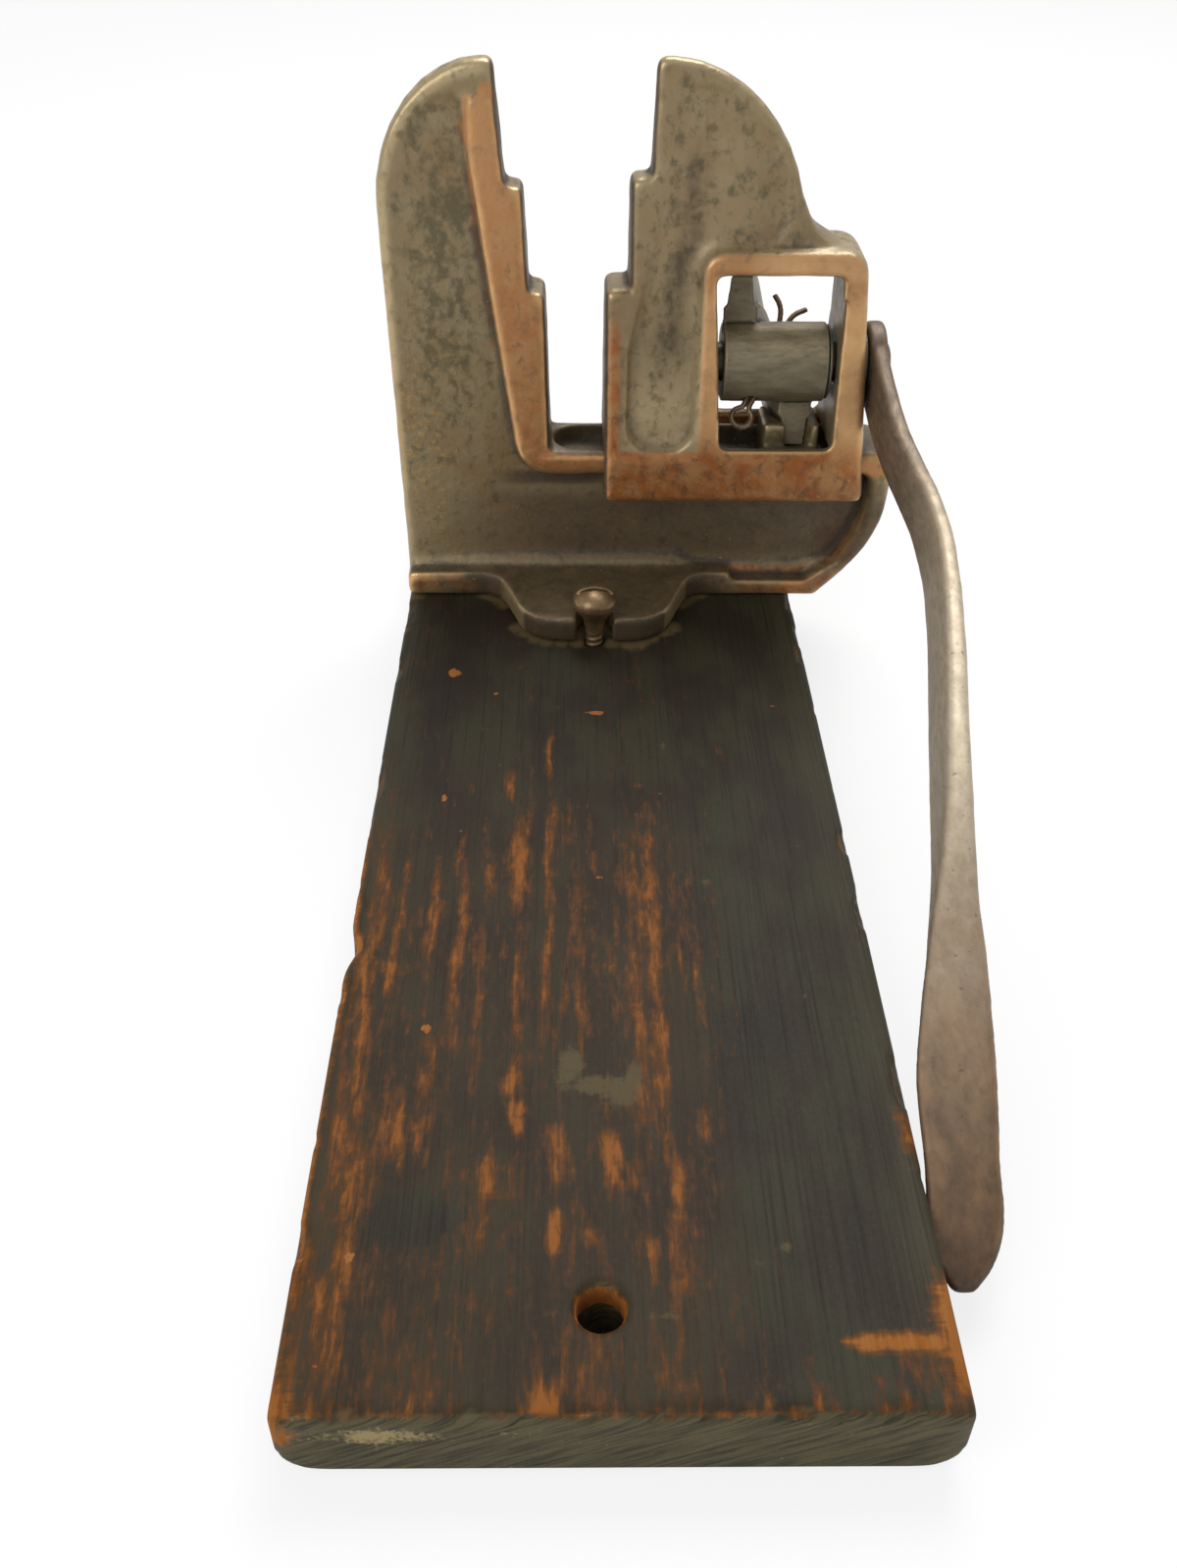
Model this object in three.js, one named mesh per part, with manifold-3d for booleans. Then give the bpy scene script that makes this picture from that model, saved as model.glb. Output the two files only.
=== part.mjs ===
// Lever nutcracker press: a stepped jaw slides on a cast rail, driven by a helical cam under a long hand lever.
// Millimetres. X is the way the jaw slides, Y runs along the board towards the casting, Z is up.
// The origin is the centre of the board's underside.
import * as THREE from 'three';
import { mergeVertices } from 'three/addons/utils/BufferGeometryUtils.js';
import Module from 'manifold-3d';

const wasm = await Module();
wasm.setup();

// Clearances shared by all pieces
const seatGap = 0.3;
const slideGap = 0.4;
const hookGap = 1.2;
const camGap = 0.4;
const overrun = 5;

// Wooden base board
const boardWidth = 140;
const boardLength = 400;
const boardThickness = 22;
const boardTopRounding = 2;
const boardBottomRounding = 9;
const boardEndRounding = 1.4;
const benchHoleDiameter = 10.5;
const benchHoleInset = 24;
const benchHoleAside = -4;
const benchHoleRim = 1.2;

// Rail, web and foot of the frame casting
const castingSetback = 74;
const railWidth = 28;
const railHeight = 56;
const lipHeight = 9;
const lipRunIn = 5;
const webThickness = 17.2;
const railPastSlider = 10.3;
const railEndRounding = 9;
const endBorder = 8;
const endBorderCorner = 5;
const railPastFoot = 21.3;
const footWidth = 29.2;
const footThickness = 9.3;
const footThinThickness = 6.2;
const footStepPastEar = 29.4;
const footStepLength = 18;
const footStepRounding = 12;
const footRidgeDepth = 5;
const footRidgeHeight = 3.4;
const footRidgeShares = [[1, 0.1], [0.6, 0.24], [0.5, 0.8], [0.3, 1], [0, 1]];
const endCurveHeight = 40;
const endCurveShares = [[0, 0], [0.61, 0.3], [1, 0.6], [1, 1]];
const castEdgeDepth = 5;
const castEdgeInset = 2;
const castCornerExtra = 0.5;
const innerCornerRadius = 1.6;
const smallRadius = 2;

// Trough along the rail's top
const troughWidth = 20;
const troughDepth = 7;
const troughLeftMargin = 0.8;
const troughRightMargin = 14;
const troughFloorRounding = 4;

// Fixed jaw
const jawHeight = 177;
const crownWidth = 36;
const crownOverhang = 2;
const crownHeight = 43;
const topFaceHeight = 36;
const middleFaceHeight = 32.3;
const jawWidthAtRail = 52.4;
const stepDepth = 5.4;
const faceLean = 1.3;
const topFaceLean = 2.8;
const coreTopHalf = 4.6;
const stripTopHalf = 5.2;
const stripEdgeDepth = 3;

// Rim strip, dish and panel on the frame's faces
const rimWidthAtTop = 8.8;
const rimWidthAtBottom = 10.8;
const rimTopDrop = 9.8;
const dishFillet = 1.4;
const dishTopDrop = 7;
const lipCornerRadius = 12;
const dishLeanPerMm = 0.045;
const panelDepth = 1.8;
const panelFillet = 1.6;
const panelCornerRadius = 6;
const recessReach = 30;

// Screw ears on the foot
const earPastJawFace = 15.2;
const earReach = 32.2;
const earRootHalfWidth = 34.5;
const earTipHalfWidth = 23;
const earCornerRadius = 16;
const earRootRadius = 22;
const earRootRun = 15;
const notchWidth = 12.6;
const notchDepth = 13;
const screwInsideTip = 2;

// Base screws
const screwHeadRadius = 7.6;
const screwCrownHeight = 4.6;
const screwRimHeight = 1.4;
const screwConeHeight = 5.6;
const screwNeckRadius = 4;
const screwShankRadius = 3.15;
const screwStandOff = 9;
const screwBite = 16;
const screwPointLength = 5;
const screwSlotWidth = 1.7;
const screwSlotDepth = 2.4;

// Sliding jaw, at rest with its lowest faces a small nut apart
const closedGap = 18;
const jawWallThickness = 6;
const sliderLength = 90.6;
const sliderPastBoard = 21;
const sliderSkirt = 7.8;
const hookEndInset = 13.5;
const sliderBoxHeight = 84.2;
const sliderBoxTopInset = 6.9;
const sliderBandHeight = 18.3;
const sliderBoxTopHalf = 13.2;
const sliderStepLead = 1.7;
const sliderTopStepLead = 2.7;
const sliderFirstStepDepth = 7.6;
const sliderSecondStepDepth = 6.4;
const sliderTopLean = 1.1;
const sliderTopDrop = 0.1;
const bladeTopWidth = 5.4;
const bladeFootInset = 28.6;
const bladeCurveStart = 15.1;
const bladeCurveShares = [[0, 0], [0.09, 0.48], [0.48, 0.97], [1, 1]];
const bladeTipRadius = 4;
const bladeBeadWidth = 2.4;
const shoulderRadius = 7;
const shoulderFilletWidth = 4.6;
const shoulderFilletRadius = 10;
const shoulderRise = 5;
const shoulderRunOut = 14;
const bladeHalfAtFirstStep = 10.2;
const bladeHalfAtTop = 2.7;

// Window through the sliding jaw
const windowRightWall = 13.2;
const windowWidthAtBottom = 37.8;
const windowLeftTaper = 4;
const windowRightTaper = 1.1;
const windowFloorAboveRail = 2.7;
const windowCeilingDrop = 7.5;
const windowCornerRadius = 2.5;
const windowBarWidth = 9;
const windowTopBarHeight = 8;

// Flute and dish in the sliding jaw's faces
const fluteFloorHalf = 13.6;
const fluteTopHalf = 1.7;
const fluteFillet = 3.6;
const fluteFloorAboveRail = 1.5;
const fluteRadius = 9;
const fluteStraightShare = 0.66;
const filletRoomShare = 0.4;
const sliderRimWidth = 7.4;
const sliderRimWidthAtTop = 7;

// Cam barrel and its helical rib
const shaftAboveRail = 27;
const shaftRadius = 6.35;
const barrelRadius = 13;
const ribRadius = 28.3;
const ribCollarRadius = 19;
const ribCollarWidth = 11.4;
const ribRootWidth = 9;
const ribTipWidth = 7;
const ribShoulder = 1;
const ribTravelPerHalfTurn = 20;
const ribFromWindowRight = 12.5;
const ribLeadAngle = 12;
const ribSweepAngle = 190;
const ribStepAngle = 6;
const halfTurn = 180;
const shaftBlindDepth = 8.6;

// Follower fork on the rail
const forkLength = 19.6;
const forkWidth = 18;
const forkAboveRail = 8;
const forkSweepAngle = 60;

// Washers and the riveted end of the shaft
const thrustWasherThickness = 1;
const thrustWasherRadius = 12.2;
const leverWasherThickness = 1.2;
const leverWasherRadius = 11;
const bossRadius = 12;
const bossInset = 4.2;
const squareAcross = 9.4;
const rivetHeadRadius = 7.4;
const rivetHeadHeight = 2.8;

// Cotter pin through barrel and shaft
const cotterLegRadius = 1.05;
const cotterLegSpacing = 2.3;
const cotterLeanAngle = 24;
const cotterTiltAngle = 38;
const cotterCrossing = 15.7;
const cotterEyeRadius = 3.4;
const cotterNeckLength = 3.2;
const cotterProngLength = 5.6;
const cotterLeftSpread = 6.6;
const cotterRightSpread = 5.4;

// Hand lever
const leverThickness = 6;
const leverEyeRadius = 13.4;
const leverEyeRounding = 1.2;
const leverReach = 292;
const leverDroopShare = 0.324;
const leverPaddleWidth = 20;
const leverBarHeight = 28.4;
const leverOutset = 8.9;
const leverInset = 15;
const leverSquarenessShare = 0.45;
// Shares of the reach, of the outset (or, below zero, of the inset), of the paddle's width and of the bar's height
const leverStationShares = [
  [0.01, 0.00, 0.30, 0.84],
  [0.08, 0.10, 0.30, 0.80],
  [0.14, 0.30, 0.30, 0.74],
  [0.20, 0.68, 0.29, 0.75],
  [0.25, 0.97, 0.29, 0.82],
  [0.30, 1.06, 0.29, 0.90],
  [0.36, 0.94, 0.31, 0.97],
  [0.43, 0.69, 0.33, 1.00],
  [0.50, 0.39, 0.35, 1.00],
  [0.56, 0.14, 0.38, 0.94],
  [0.61, -0.03, 0.42, 0.83],
  [0.65, -0.13, 0.49, 0.64],
  [0.69, -0.24, 0.60, 0.41],
  [0.73, -0.33, 0.73, 0.25],
  [0.78, -0.48, 0.87, 0.19],
  [0.84, -0.66, 0.97, 0.17],
  [0.89, -0.75, 0.90, 0.16],
  [0.94, -0.84, 0.75, 0.15],
  [0.98, -0.93, 0.48, 0.13],
  [1.00, -0.98, 0.16, 0.09],
];

// Fineness of round and curved stretches
const shaftSegments = 36;
const turnedSegments = 24;
const cornerSteps = 2;
const curveSteps = 8;
const edgeSteps = 2;
const eyeSteps = 10;
const leverRingSides = 16;
const leverRingCount = 48;
const cotterSteps = 76;
const cornerShare = 0.48;

// Levels and places worked out from the sizes above
const midPlane = boardLength / 2 - castingSetback;
const boardTop = boardThickness;
const sliderRight = boardWidth / 2 + sliderPastBoard;
const sliderFace = sliderRight - sliderLength;
const lowerJawFace = sliderFace - closedGap;
const frameLeft = lowerJawFace - jawWidthAtRail;
const railRightEnd = sliderRight + railPastSlider;
const footRightEnd = railRightEnd - railPastFoot;
const earCentre = lowerJawFace + earPastJawFace;
const footStepStart = earCentre + footStepPastEar;
const railTop = boardTop + railHeight;
const lipBottom = railTop - lipHeight;
const footTop = boardTop + footThickness;
const jawTop = boardTop + jawHeight;
const crownMiddle = frameLeft + crownWidth - crownOverhang;
const secondStep = jawTop - topFaceHeight;
const firstStep = secondStep - middleFaceHeight;
const shaftLevel = railTop + shaftAboveRail;
const castCornerRadius = castEdgeInset + castCornerExtra;
const jawTip = lowerJawFace - 2 * (faceLean + stepDepth) - topFaceLean;
const coreFoot = [boardTop, webThickness / 2];
const coreTop = [jawTop, coreTopHalf];
const sliderDepth = railWidth + 2 * jawWallThickness;
const sliderBottom = lipBottom - sliderSkirt;
const sliderBoxTop = sliderBottom + sliderBoxHeight;
const sliderTop = jawTop - sliderTopDrop;
const sliderFirstStep = firstStep + sliderStepLead;
const sliderSecondStep = secondStep + sliderTopStepLead;
const sliderFoot = [sliderBottom, sliderDepth / 2];
const sliderBoxCrown = [sliderBoxTop, sliderBoxTopHalf];
const windowRight = sliderRight - windowRightWall;
const windowLeft = windowRight - windowWidthAtBottom;
const ribPlace = windowRight - ribFromWindowRight;
const bladeFoot = sliderRight - bladeFootInset;
const fluteRight = windowLeft - windowBarWidth;
const bandTop = sliderBottom + sliderBandHeight;
const windowFloor = railTop + windowFloorAboveRail;
const windowCeiling = sliderBoxTop - windowCeilingDrop;
const barrelLeft = windowLeft + seatGap;
const thrustWasherRight = windowRight - windowRightTaper - seatGap;
const barrelRight = thrustWasherRight - thrustWasherThickness - seatGap;
const bossFace = sliderRight - bossInset;
const leverInner = bossFace + seatGap + leverWasherThickness + seatGap;
const leverOuter = leverInner + leverThickness;
const earTipReach = footWidth / 2 + earReach;
const screwReach = earTipReach - screwInsideTip;
const pitchPerDegree = ribTravelPerHalfTurn / halfTurn;

// Solids

function facingOut(positions, indices) {
  let volume = 0;
  const corner = [0, 1, 2].map(() => new THREE.Vector3());
  for (let start = 0; start < indices.length; start += 3) {
    corner.forEach((point, which) => point.fromArray(positions, 3 * indices[start + which]));
    volume += corner[0].dot(corner[1].clone().cross(corner[2]));
  }
  if (volume > 0) return indices;
  const flipped = indices.slice();
  for (let start = 0; start < indices.length; start += 3) {
    flipped[start + 1] = indices[start + 2];
    flipped[start + 2] = indices[start + 1];
  }
  return flipped;
}

function toSolid(geometry) {
  const plain = geometry.clone();
  plain.deleteAttribute('normal');
  plain.deleteAttribute('uv');
  const merged = mergeVertices(plain);
  const vertProperties = new Float32Array(merged.attributes.position.array);
  const triVerts = facingOut(vertProperties, new Uint32Array(merged.index.array));
  return new wasm.Manifold(new wasm.Mesh({ numProp: 3, vertProperties, triVerts }));
}

function toGeometry(solid) {
  const mesh = solid.getMesh();
  const geometry = new THREE.BufferGeometry();
  geometry.setAttribute('position', new THREE.BufferAttribute(new Float32Array(mesh.vertProperties), 3));
  geometry.setIndex(new THREE.BufferAttribute(new Uint32Array(mesh.triVerts), 1));
  geometry.computeVertexNormals();
  return geometry;
}

function joined(...solids) {
  return solids.reduce((whole, next) => whole.add(next));
}

function cut(base, ...tools) {
  return tools.reduce((whole, tool) => whole.subtract(tool), base);
}

function makeMesh(name, solid, { color, roughness, metalness }) {
  const mesh = new THREE.Mesh(toGeometry(solid), new THREE.MeshStandardMaterial({ color, roughness, metalness }));
  mesh.name = name;
  return mesh;
}

// A closed outline whose corners are [across, up, radius], each rounded as far as its two sides allow
function roundedOutline(corners) {
  const shape = new THREE.Shape();
  const count = corners.length;
  corners.forEach(([across, up, radius = 0], index) => {
    const here = new THREE.Vector2(across, up);
    const before = corners[(index + count - 1) % count];
    const after = corners[(index + 1) % count];
    const toBefore = new THREE.Vector2(before[0], before[1]).sub(here);
    const toAfter = new THREE.Vector2(after[0], after[1]).sub(here);
    const halfAngle = Math.acos(toBefore.dot(toAfter) / (toBefore.length() * toAfter.length())) / 2;
    const wanted = radius / Math.tan(halfAngle);
    const reach = Math.min(wanted, toBefore.length() * cornerShare, toAfter.length() * cornerShare);
    const start = here.clone().add(toBefore.clone().setLength(reach));
    if (index === 0) shape.moveTo(start.x, start.y);
    else shape.lineTo(start.x, start.y);
    if (radius === 0) return;
    const leftTurn = toBefore.cross(toAfter) < 0;
    const inward = new THREE.Vector2(-toBefore.y, toBefore.x).multiplyScalar(leftTurn ? -1 : 1);
    const centre = start.clone().add(inward.setLength(reach * Math.tan(halfAngle)));
    const fromCentre = start.clone().sub(centre);
    const sweep = (Math.PI - 2 * halfAngle) * (leftTurn ? 1 : -1);
    shape.absarc(centre.x, centre.y, fromCentre.length(), fromCentre.angle(), fromCentre.angle() + sweep, !leftTurn);
  });
  shape.closePath();
  return shape;
}

// Points on a curve whose control points are shares of a box, from one corner of the box to the other
function curveInBox(shares, from, to) {
  const controls = shares.map(([across, up]) => new THREE.Vector2(
    from[0] + (to[0] - from[0]) * across,
    from[1] + (to[1] - from[1]) * up,
  ));
  return new THREE.CubicBezierCurve(...controls).getPoints(curveSteps).map((point) => [point.x, point.y]);
}

// Points of a line that lie at least so far apart
function spaced(points, leastStep) {
  return points.reduce((kept, point) => {
    const last = kept.at(-1);
    const close = last !== undefined && Math.hypot(point[0] - last[0], point[1] - last[1]) < leastStep;
    return close ? kept : [...kept, point];
  }, []);
}

// Quarter of an ellipse from straight above the centre round to its left side
function crownPoints(centreAcross, centreUp, halfWidth, halfHeight) {
  return Array.from({ length: curveSteps + 1 }, (_, index) => {
    const turn = (Math.PI / 2) * (index / curveSteps);
    return [centreAcross - halfWidth * Math.sin(turn), centreUp + halfHeight * Math.cos(turn)];
  });
}

function extruded(shape, depth, edgeDepth = 0, edgeInset = 0) {
  const geometry = new THREE.ExtrudeGeometry(shape, {
    depth: depth - 2 * edgeDepth,
    curveSegments: cornerSteps,
    bevelEnabled: edgeDepth > 0,
    bevelThickness: edgeDepth,
    bevelSize: edgeInset,
    bevelOffset: -edgeInset,
    bevelSegments: edgeSteps,
  });
  geometry.translate(0, 0, edgeDepth);
  return geometry;
}

// Outline in X and Z, thickness along Y
function plateAcross(shape, front, back, edgeDepth, edgeInset) {
  const geometry = extruded(shape, back - front, edgeDepth, edgeInset);
  geometry.rotateX(Math.PI / 2);
  geometry.translate(0, back, 0);
  return toSolid(geometry);
}

// A value that runs evenly with height through two [level, value] pairs
function evenlyWithHeight(level, [lowLevel, lowValue], [highLevel, highValue]) {
  return lowValue + ((highValue - lowValue) * (level - lowLevel)) / (highLevel - lowLevel);
}

// Outline in X and Z; half of its thickness runs evenly with height
function taperedPlate(shape, low, high, edgeDepth, edgeInset) {
  const [, lowHalf] = low;
  const geometry = extruded(shape, 2 * lowHalf, edgeDepth, edgeInset);
  geometry.rotateX(Math.PI / 2);
  geometry.translate(0, lowHalf, 0);
  const points = geometry.attributes.position;
  for (let index = 0; index < points.count; index += 1) {
    const thinning = evenlyWithHeight(points.getZ(index), low, high) / lowHalf;
    points.setY(index, midPlane + points.getY(index) * thinning);
  }
  return toSolid(geometry);
}

// A tool that cuts one face back to a floor; side is -1 at the front and 1 at the back. The floor's distance
// from the mid-plane runs evenly with height and may also lean in towards the right
function recessTool(shape, side, low, high, fillet, leanPerMm = 0, leanFrom = 0) {
  const geometry = extruded(shape, recessReach, fillet, fillet);
  geometry.rotateX(Math.PI / 2);
  const points = geometry.attributes.position;
  for (let index = 0; index < points.count; index += 1) {
    const floor = evenlyWithHeight(points.getZ(index), low, high) - leanPerMm * (points.getX(index) - leanFrom);
    points.setY(index, midPlane + side * (floor - points.getY(index)));
  }
  return toSolid(geometry);
}

// Outline in X and Y, thickness upwards
function plateUp(shape, bottom, top, edgeDepth, edgeInset) {
  const geometry = extruded(shape, top - bottom, edgeDepth, edgeInset);
  geometry.translate(0, 0, bottom);
  return toSolid(geometry);
}

// Outline in Y and Z, length along X
function barAlong(shape, left, right, edgeDepth, edgeInset) {
  const geometry = extruded(shape, right - left, edgeDepth, edgeInset);
  geometry.rotateX(Math.PI / 2);
  geometry.rotateZ(Math.PI / 2);
  geometry.translate(left, 0, 0);
  return toSolid(geometry);
}

function block([left, right], [front, back], [bottom, top]) {
  const geometry = new THREE.BoxGeometry(right - left, back - front, top - bottom);
  geometry.translate((left + right) / 2, (front + back) / 2, (bottom + top) / 2);
  return toSolid(geometry);
}

function roundBar(radius, left, right, segments = shaftSegments) {
  const geometry = new THREE.CylinderGeometry(radius, radius, right - left, segments);
  geometry.rotateZ(-Math.PI / 2);
  geometry.translate((left + right) / 2, midPlane, shaftLevel);
  return toSolid(geometry);
}

// A turned piece from [radius, height] pairs that start and end on the axis
function turned(profile) {
  const points = profile.map(([radius, height]) => new THREE.Vector2(radius, height));
  const geometry = new THREE.LatheGeometry(points, turnedSegments);
  geometry.rotateX(Math.PI / 2);
  return geometry;
}

function mirrored(point) {
  return new THREE.Vector2(-point.x, point.y);
}

// A closed solid through rings of points that all have the same count; flat caps close both ends
function throughRings(rings, capOutline) {
  const count = rings[0].length;
  const positions = rings.flat().flatMap((point) => [point.x, point.y, point.z]);
  const indices = [];
  for (let ring = 0; ring + 1 < rings.length; ring += 1) {
    for (let side = 0; side < count; side += 1) {
      const a = ring * count + side;
      const b = ring * count + ((side + 1) % count);
      indices.push(a, b, b + count, a, b + count, a + count);
    }
  }
  const lastRing = (rings.length - 1) * count;
  const outline = THREE.ShapeUtils.isClockWise(capOutline) ? capOutline.map(mirrored) : capOutline;
  for (const [a, b, c] of THREE.ShapeUtils.triangulateShape(outline, [])) {
    indices.push(c, b, a);
    indices.push(lastRing + a, lastRing + b, lastRing + c);
  }
  const geometry = new THREE.BufferGeometry();
  geometry.setAttribute('position', new THREE.Float32BufferAttribute(positions, 3));
  geometry.setIndex(indices);
  return toSolid(geometry);
}

// Wooden base board

function makeBoard() {
  const half = boardWidth / 2;
  const section = roundedOutline([
    [-half, 0, boardBottomRounding],
    [half, 0, boardBottomRounding],
    [half, boardTop, boardTopRounding],
    [-half, boardTop, boardTopRounding],
  ]);
  const blank = plateAcross(section, -boardLength / 2, boardLength / 2, boardEndRounding, boardEndRounding);
  const holeRadius = benchHoleDiameter / 2;
  const benchHole = turned([
    [0, -overrun],
    [holeRadius, -overrun],
    [holeRadius, boardTop - benchHoleRim],
    [holeRadius + benchHoleRim, boardTop],
    [holeRadius + benchHoleRim, boardTop + overrun],
    [0, boardTop + overrun],
  ]);
  benchHole.translate(benchHoleAside, benchHoleInset - boardLength / 2, 0);
  const pilotHoles = [-1, 1].map((side) => {
    const hole = screwProfile(seatGap, boardTop + overrun);
    const tool = turned(hole);
    tool.translate(earCentre, midPlane + side * screwReach, 0);
    return toSolid(tool);
  });
  return cut(blank, toSolid(benchHole), ...pilotHoles);
}

// Frame casting

function endCurve(inset) {
  return curveInBox(
    endCurveShares,
    [footRightEnd - inset, boardTop],
    [railRightEnd - inset, boardTop + endCurveHeight],
  );
}

function jawCrown(inset) {
  const centreUp = jawTop - crownHeight;
  return crownPoints(crownMiddle, centreUp, crownWidth - inset, crownHeight - inset);
}

// The stepped faces of the fixed jaw, from the rail's top up to the tip
function fixedJawSteps() {
  const middleFace = lowerJawFace - faceLean - stepDepth;
  const topFace = middleFace - faceLean - stepDepth;
  return [
    [lowerJawFace - faceLean, firstStep, castCornerRadius],
    [middleFace, firstStep, innerCornerRadius],
    [middleFace - faceLean, secondStep, castCornerRadius],
    [topFace, secondStep, innerCornerRadius],
  ];
}

// The thin plate that carries the rail, the rim strip and the foot; it thins upwards
function corePlate() {
  const outline = roundedOutline([
    [frameLeft, boardTop, castCornerRadius],
    ...endCurve(0),
    [railRightEnd, railTop, railEndRounding],
    [lowerJawFace, railTop, innerCornerRadius],
    ...fixedJawSteps(),
    [jawTip, jawTop, castCornerRadius],
    ...jawCrown(0).filter(([across]) => across < jawTip - 2 * castCornerRadius),
  ]);
  return taperedPlate(outline, coreFoot, coreTop, castEdgeDepth, castEdgeInset);
}

// Lip of the rail, which turns down into a border along the end curve
function railLip() {
  const innerCurve = endCurve(endBorder).filter(([, up]) => up > footTop && up < lipBottom - endBorderCorner);
  const outline = roundedOutline([
    [lowerJawFace - lipRunIn, lipBottom, castCornerRadius],
    [railRightEnd - endBorder, lipBottom, endBorderCorner],
    ...innerCurve.reverse(),
    [footRightEnd - 2 * endBorder, boardTop],
    ...endCurve(0),
    [railRightEnd, railTop, railEndRounding],
    [lowerJawFace - lipRunIn, railTop],
  ]);
  return plateAcross(outline, midPlane - railWidth / 2, midPlane + railWidth / 2, castEdgeDepth, castEdgeInset);
}

// Raised strip along the stepped faces
function rimStrip() {
  const rimTop = jawTip - rimWidthAtTop;
  const stripTop = jawTop - rimTopDrop;
  const outline = roundedOutline([
    [lowerJawFace - rimWidthAtBottom, lipBottom, lipCornerRadius],
    [lowerJawFace + lipCornerRadius, lipBottom],
    [lowerJawFace + lipCornerRadius, railTop - castEdgeInset],
    [lowerJawFace, railTop - castEdgeInset],
    ...fixedJawSteps(),
    [jawTip, stripTop, castCornerRadius],
    [rimTop, stripTop, castCornerRadius],
    [rimTop, secondStep + rimTopDrop],
    [rimTop + stepDepth, firstStep],
  ]);
  return taperedPlate(outline, [lipBottom, railWidth / 2], [jawTop, stripTopHalf], stripEdgeDepth, castEdgeInset);
}

// Shallow dish left of the rim strip, deepest beside the strip and bounded above by a bead along the crown
function jawDish(side) {
  const corner = dishFillet + castCornerExtra;
  const rimTop = jawTip - rimWidthAtTop;
  const outline = roundedOutline([
    [frameLeft - overrun, footTop, corner],
    [lowerJawFace - rimWidthAtBottom, footTop, corner],
    [lowerJawFace - rimWidthAtBottom, lipBottom - corner],
    [lowerJawFace - corner, lipBottom - corner],
    [lowerJawFace - corner, railTop],
    [rimTop + stepDepth, firstStep],
    [rimTop, secondStep + rimTopDrop],
    [rimTop, jawTop - rimTopDrop, corner],
    ...crownPoints(crownMiddle, jawTop - crownHeight, crownWidth + overrun, crownHeight - dishTopDrop)
      .filter(([across]) => across < rimTop - 2 * corner),
  ]);
  return recessTool(outline, side, coreFoot, coreTop, dishFillet, dishLeanPerMm, frameLeft);
}

// Recess under the rail's lip, as deep as the dish where the two meet
function footPanel(side) {
  const corner = panelFillet + castCornerExtra;
  const left = lowerJawFace - rimWidthAtBottom - dishFillet - corner;
  const innerCurve = endCurve(endBorder).filter(([, up]) => up > footTop + corner && up < lipBottom - endBorderCorner);
  const outline = roundedOutline([
    [left, footTop, corner],
    [footRightEnd - endBorder, footTop, corner],
    ...innerCurve,
    [railRightEnd - endBorder, lipBottom, panelCornerRadius],
    [left, lipBottom, corner],
  ]);
  const [footLevel, footHalf] = coreFoot;
  const [topLevel, topHalf] = coreTop;
  return recessTool(outline, side, [footLevel, footHalf - panelDepth], [topLevel, topHalf - panelDepth], panelFillet);
}

// Ridge between web and foot, which runs out where the foot gets thinner
function footRidge(side) {
  const wall = midPlane + side * (webThickness / 2 - panelDepth - seatGap);
  const thinTop = boardTop + footThinThickness;
  const stepEnd = footStepStart + footStepLength;
  const section = [[0, -1], [1, -1], ...footRidgeShares];
  const stations = [
    [frameLeft + castEdgeInset, footTop, 1],
    [footStepStart - footStepLength / 2, footTop, 1],
    [footStepStart, footTop, 0.8],
    [stepEnd, thinTop, 0.3],
    [footRightEnd - endBorder, thinTop, 0.3],
  ];
  const rings = stations.map(([across, level, share]) => section.map(([out, up]) => new THREE.Vector3(
    across,
    wall + side * out * footRidgeDepth,
    level + up * share * footRidgeHeight,
  )));
  return throughRings(rings, section.map(([out, up]) => new THREE.Vector2(out, up)));
}

// The foot is thinner on its right; two ears stand out from it
function makeFoot() {
  const thinTop = boardTop + footThinThickness;
  const profile = roundedOutline([
    [frameLeft, boardTop, smallRadius],
    [footRightEnd, boardTop, smallRadius],
    [footRightEnd, thinTop, smallRadius],
    [footStepStart + footStepLength, thinTop, footStepRounding],
    [footStepStart, footTop, footStepRounding],
    [frameLeft, footTop, smallRadius],
  ]);
  const half = footWidth / 2;
  const bar = plateAcross(profile, midPlane - half, midPlane + half, smallRadius / 2, smallRadius / 2);
  const ears = roundedOutline([-1, 1].flatMap((side) => {
    const root = midPlane + side * (half - smallRadius);
    const barFace = midPlane + side * (half - seatGap);
    const tip = midPlane + side * earTipReach;
    const runEnd = earRootHalfWidth + earRootRun;
    return [
      [earCentre + side * runEnd, root],
      [earCentre + side * runEnd, barFace],
      [earCentre + side * earRootHalfWidth, barFace, earRootRadius],
      [earCentre + side * earTipHalfWidth, tip, earCornerRadius],
      [earCentre - side * earTipHalfWidth, tip, earCornerRadius],
      [earCentre - side * earRootHalfWidth, barFace, earRootRadius],
      [earCentre - side * runEnd, barFace],
      [earCentre - side * runEnd, root],
    ];
  }));
  return joined(bar, plateUp(ears, boardTop, footTop, smallRadius / 2, smallRadius / 2));
}

// A round-ended notch that opens at the ear's tip
function earNotch(side) {
  const radius = notchWidth / 2;
  const inner = midPlane + side * (earTipReach - notchDepth);
  const outer = midPlane + side * (earTipReach + overrun);
  const plan = roundedOutline([
    [earCentre - radius, outer],
    [earCentre - radius, inner, radius],
    [earCentre + radius, inner, radius],
    [earCentre + radius, outer],
  ]);
  return plateUp(plan, boardTop - overrun, footTop + overrun);
}

function railTrough() {
  const half = troughWidth / 2;
  const left = lowerJawFace + troughLeftMargin;
  const right = railRightEnd - troughRightMargin;
  const plan = roundedOutline([
    [left, midPlane - half, half],
    [right, midPlane - half, half],
    [right, midPlane + half, half],
    [left, midPlane + half, half],
  ]);
  return plateUp(plan, railTop - troughDepth, railTop + 2 * overrun, troughFloorRounding, troughFloorRounding / 2);
}

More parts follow.
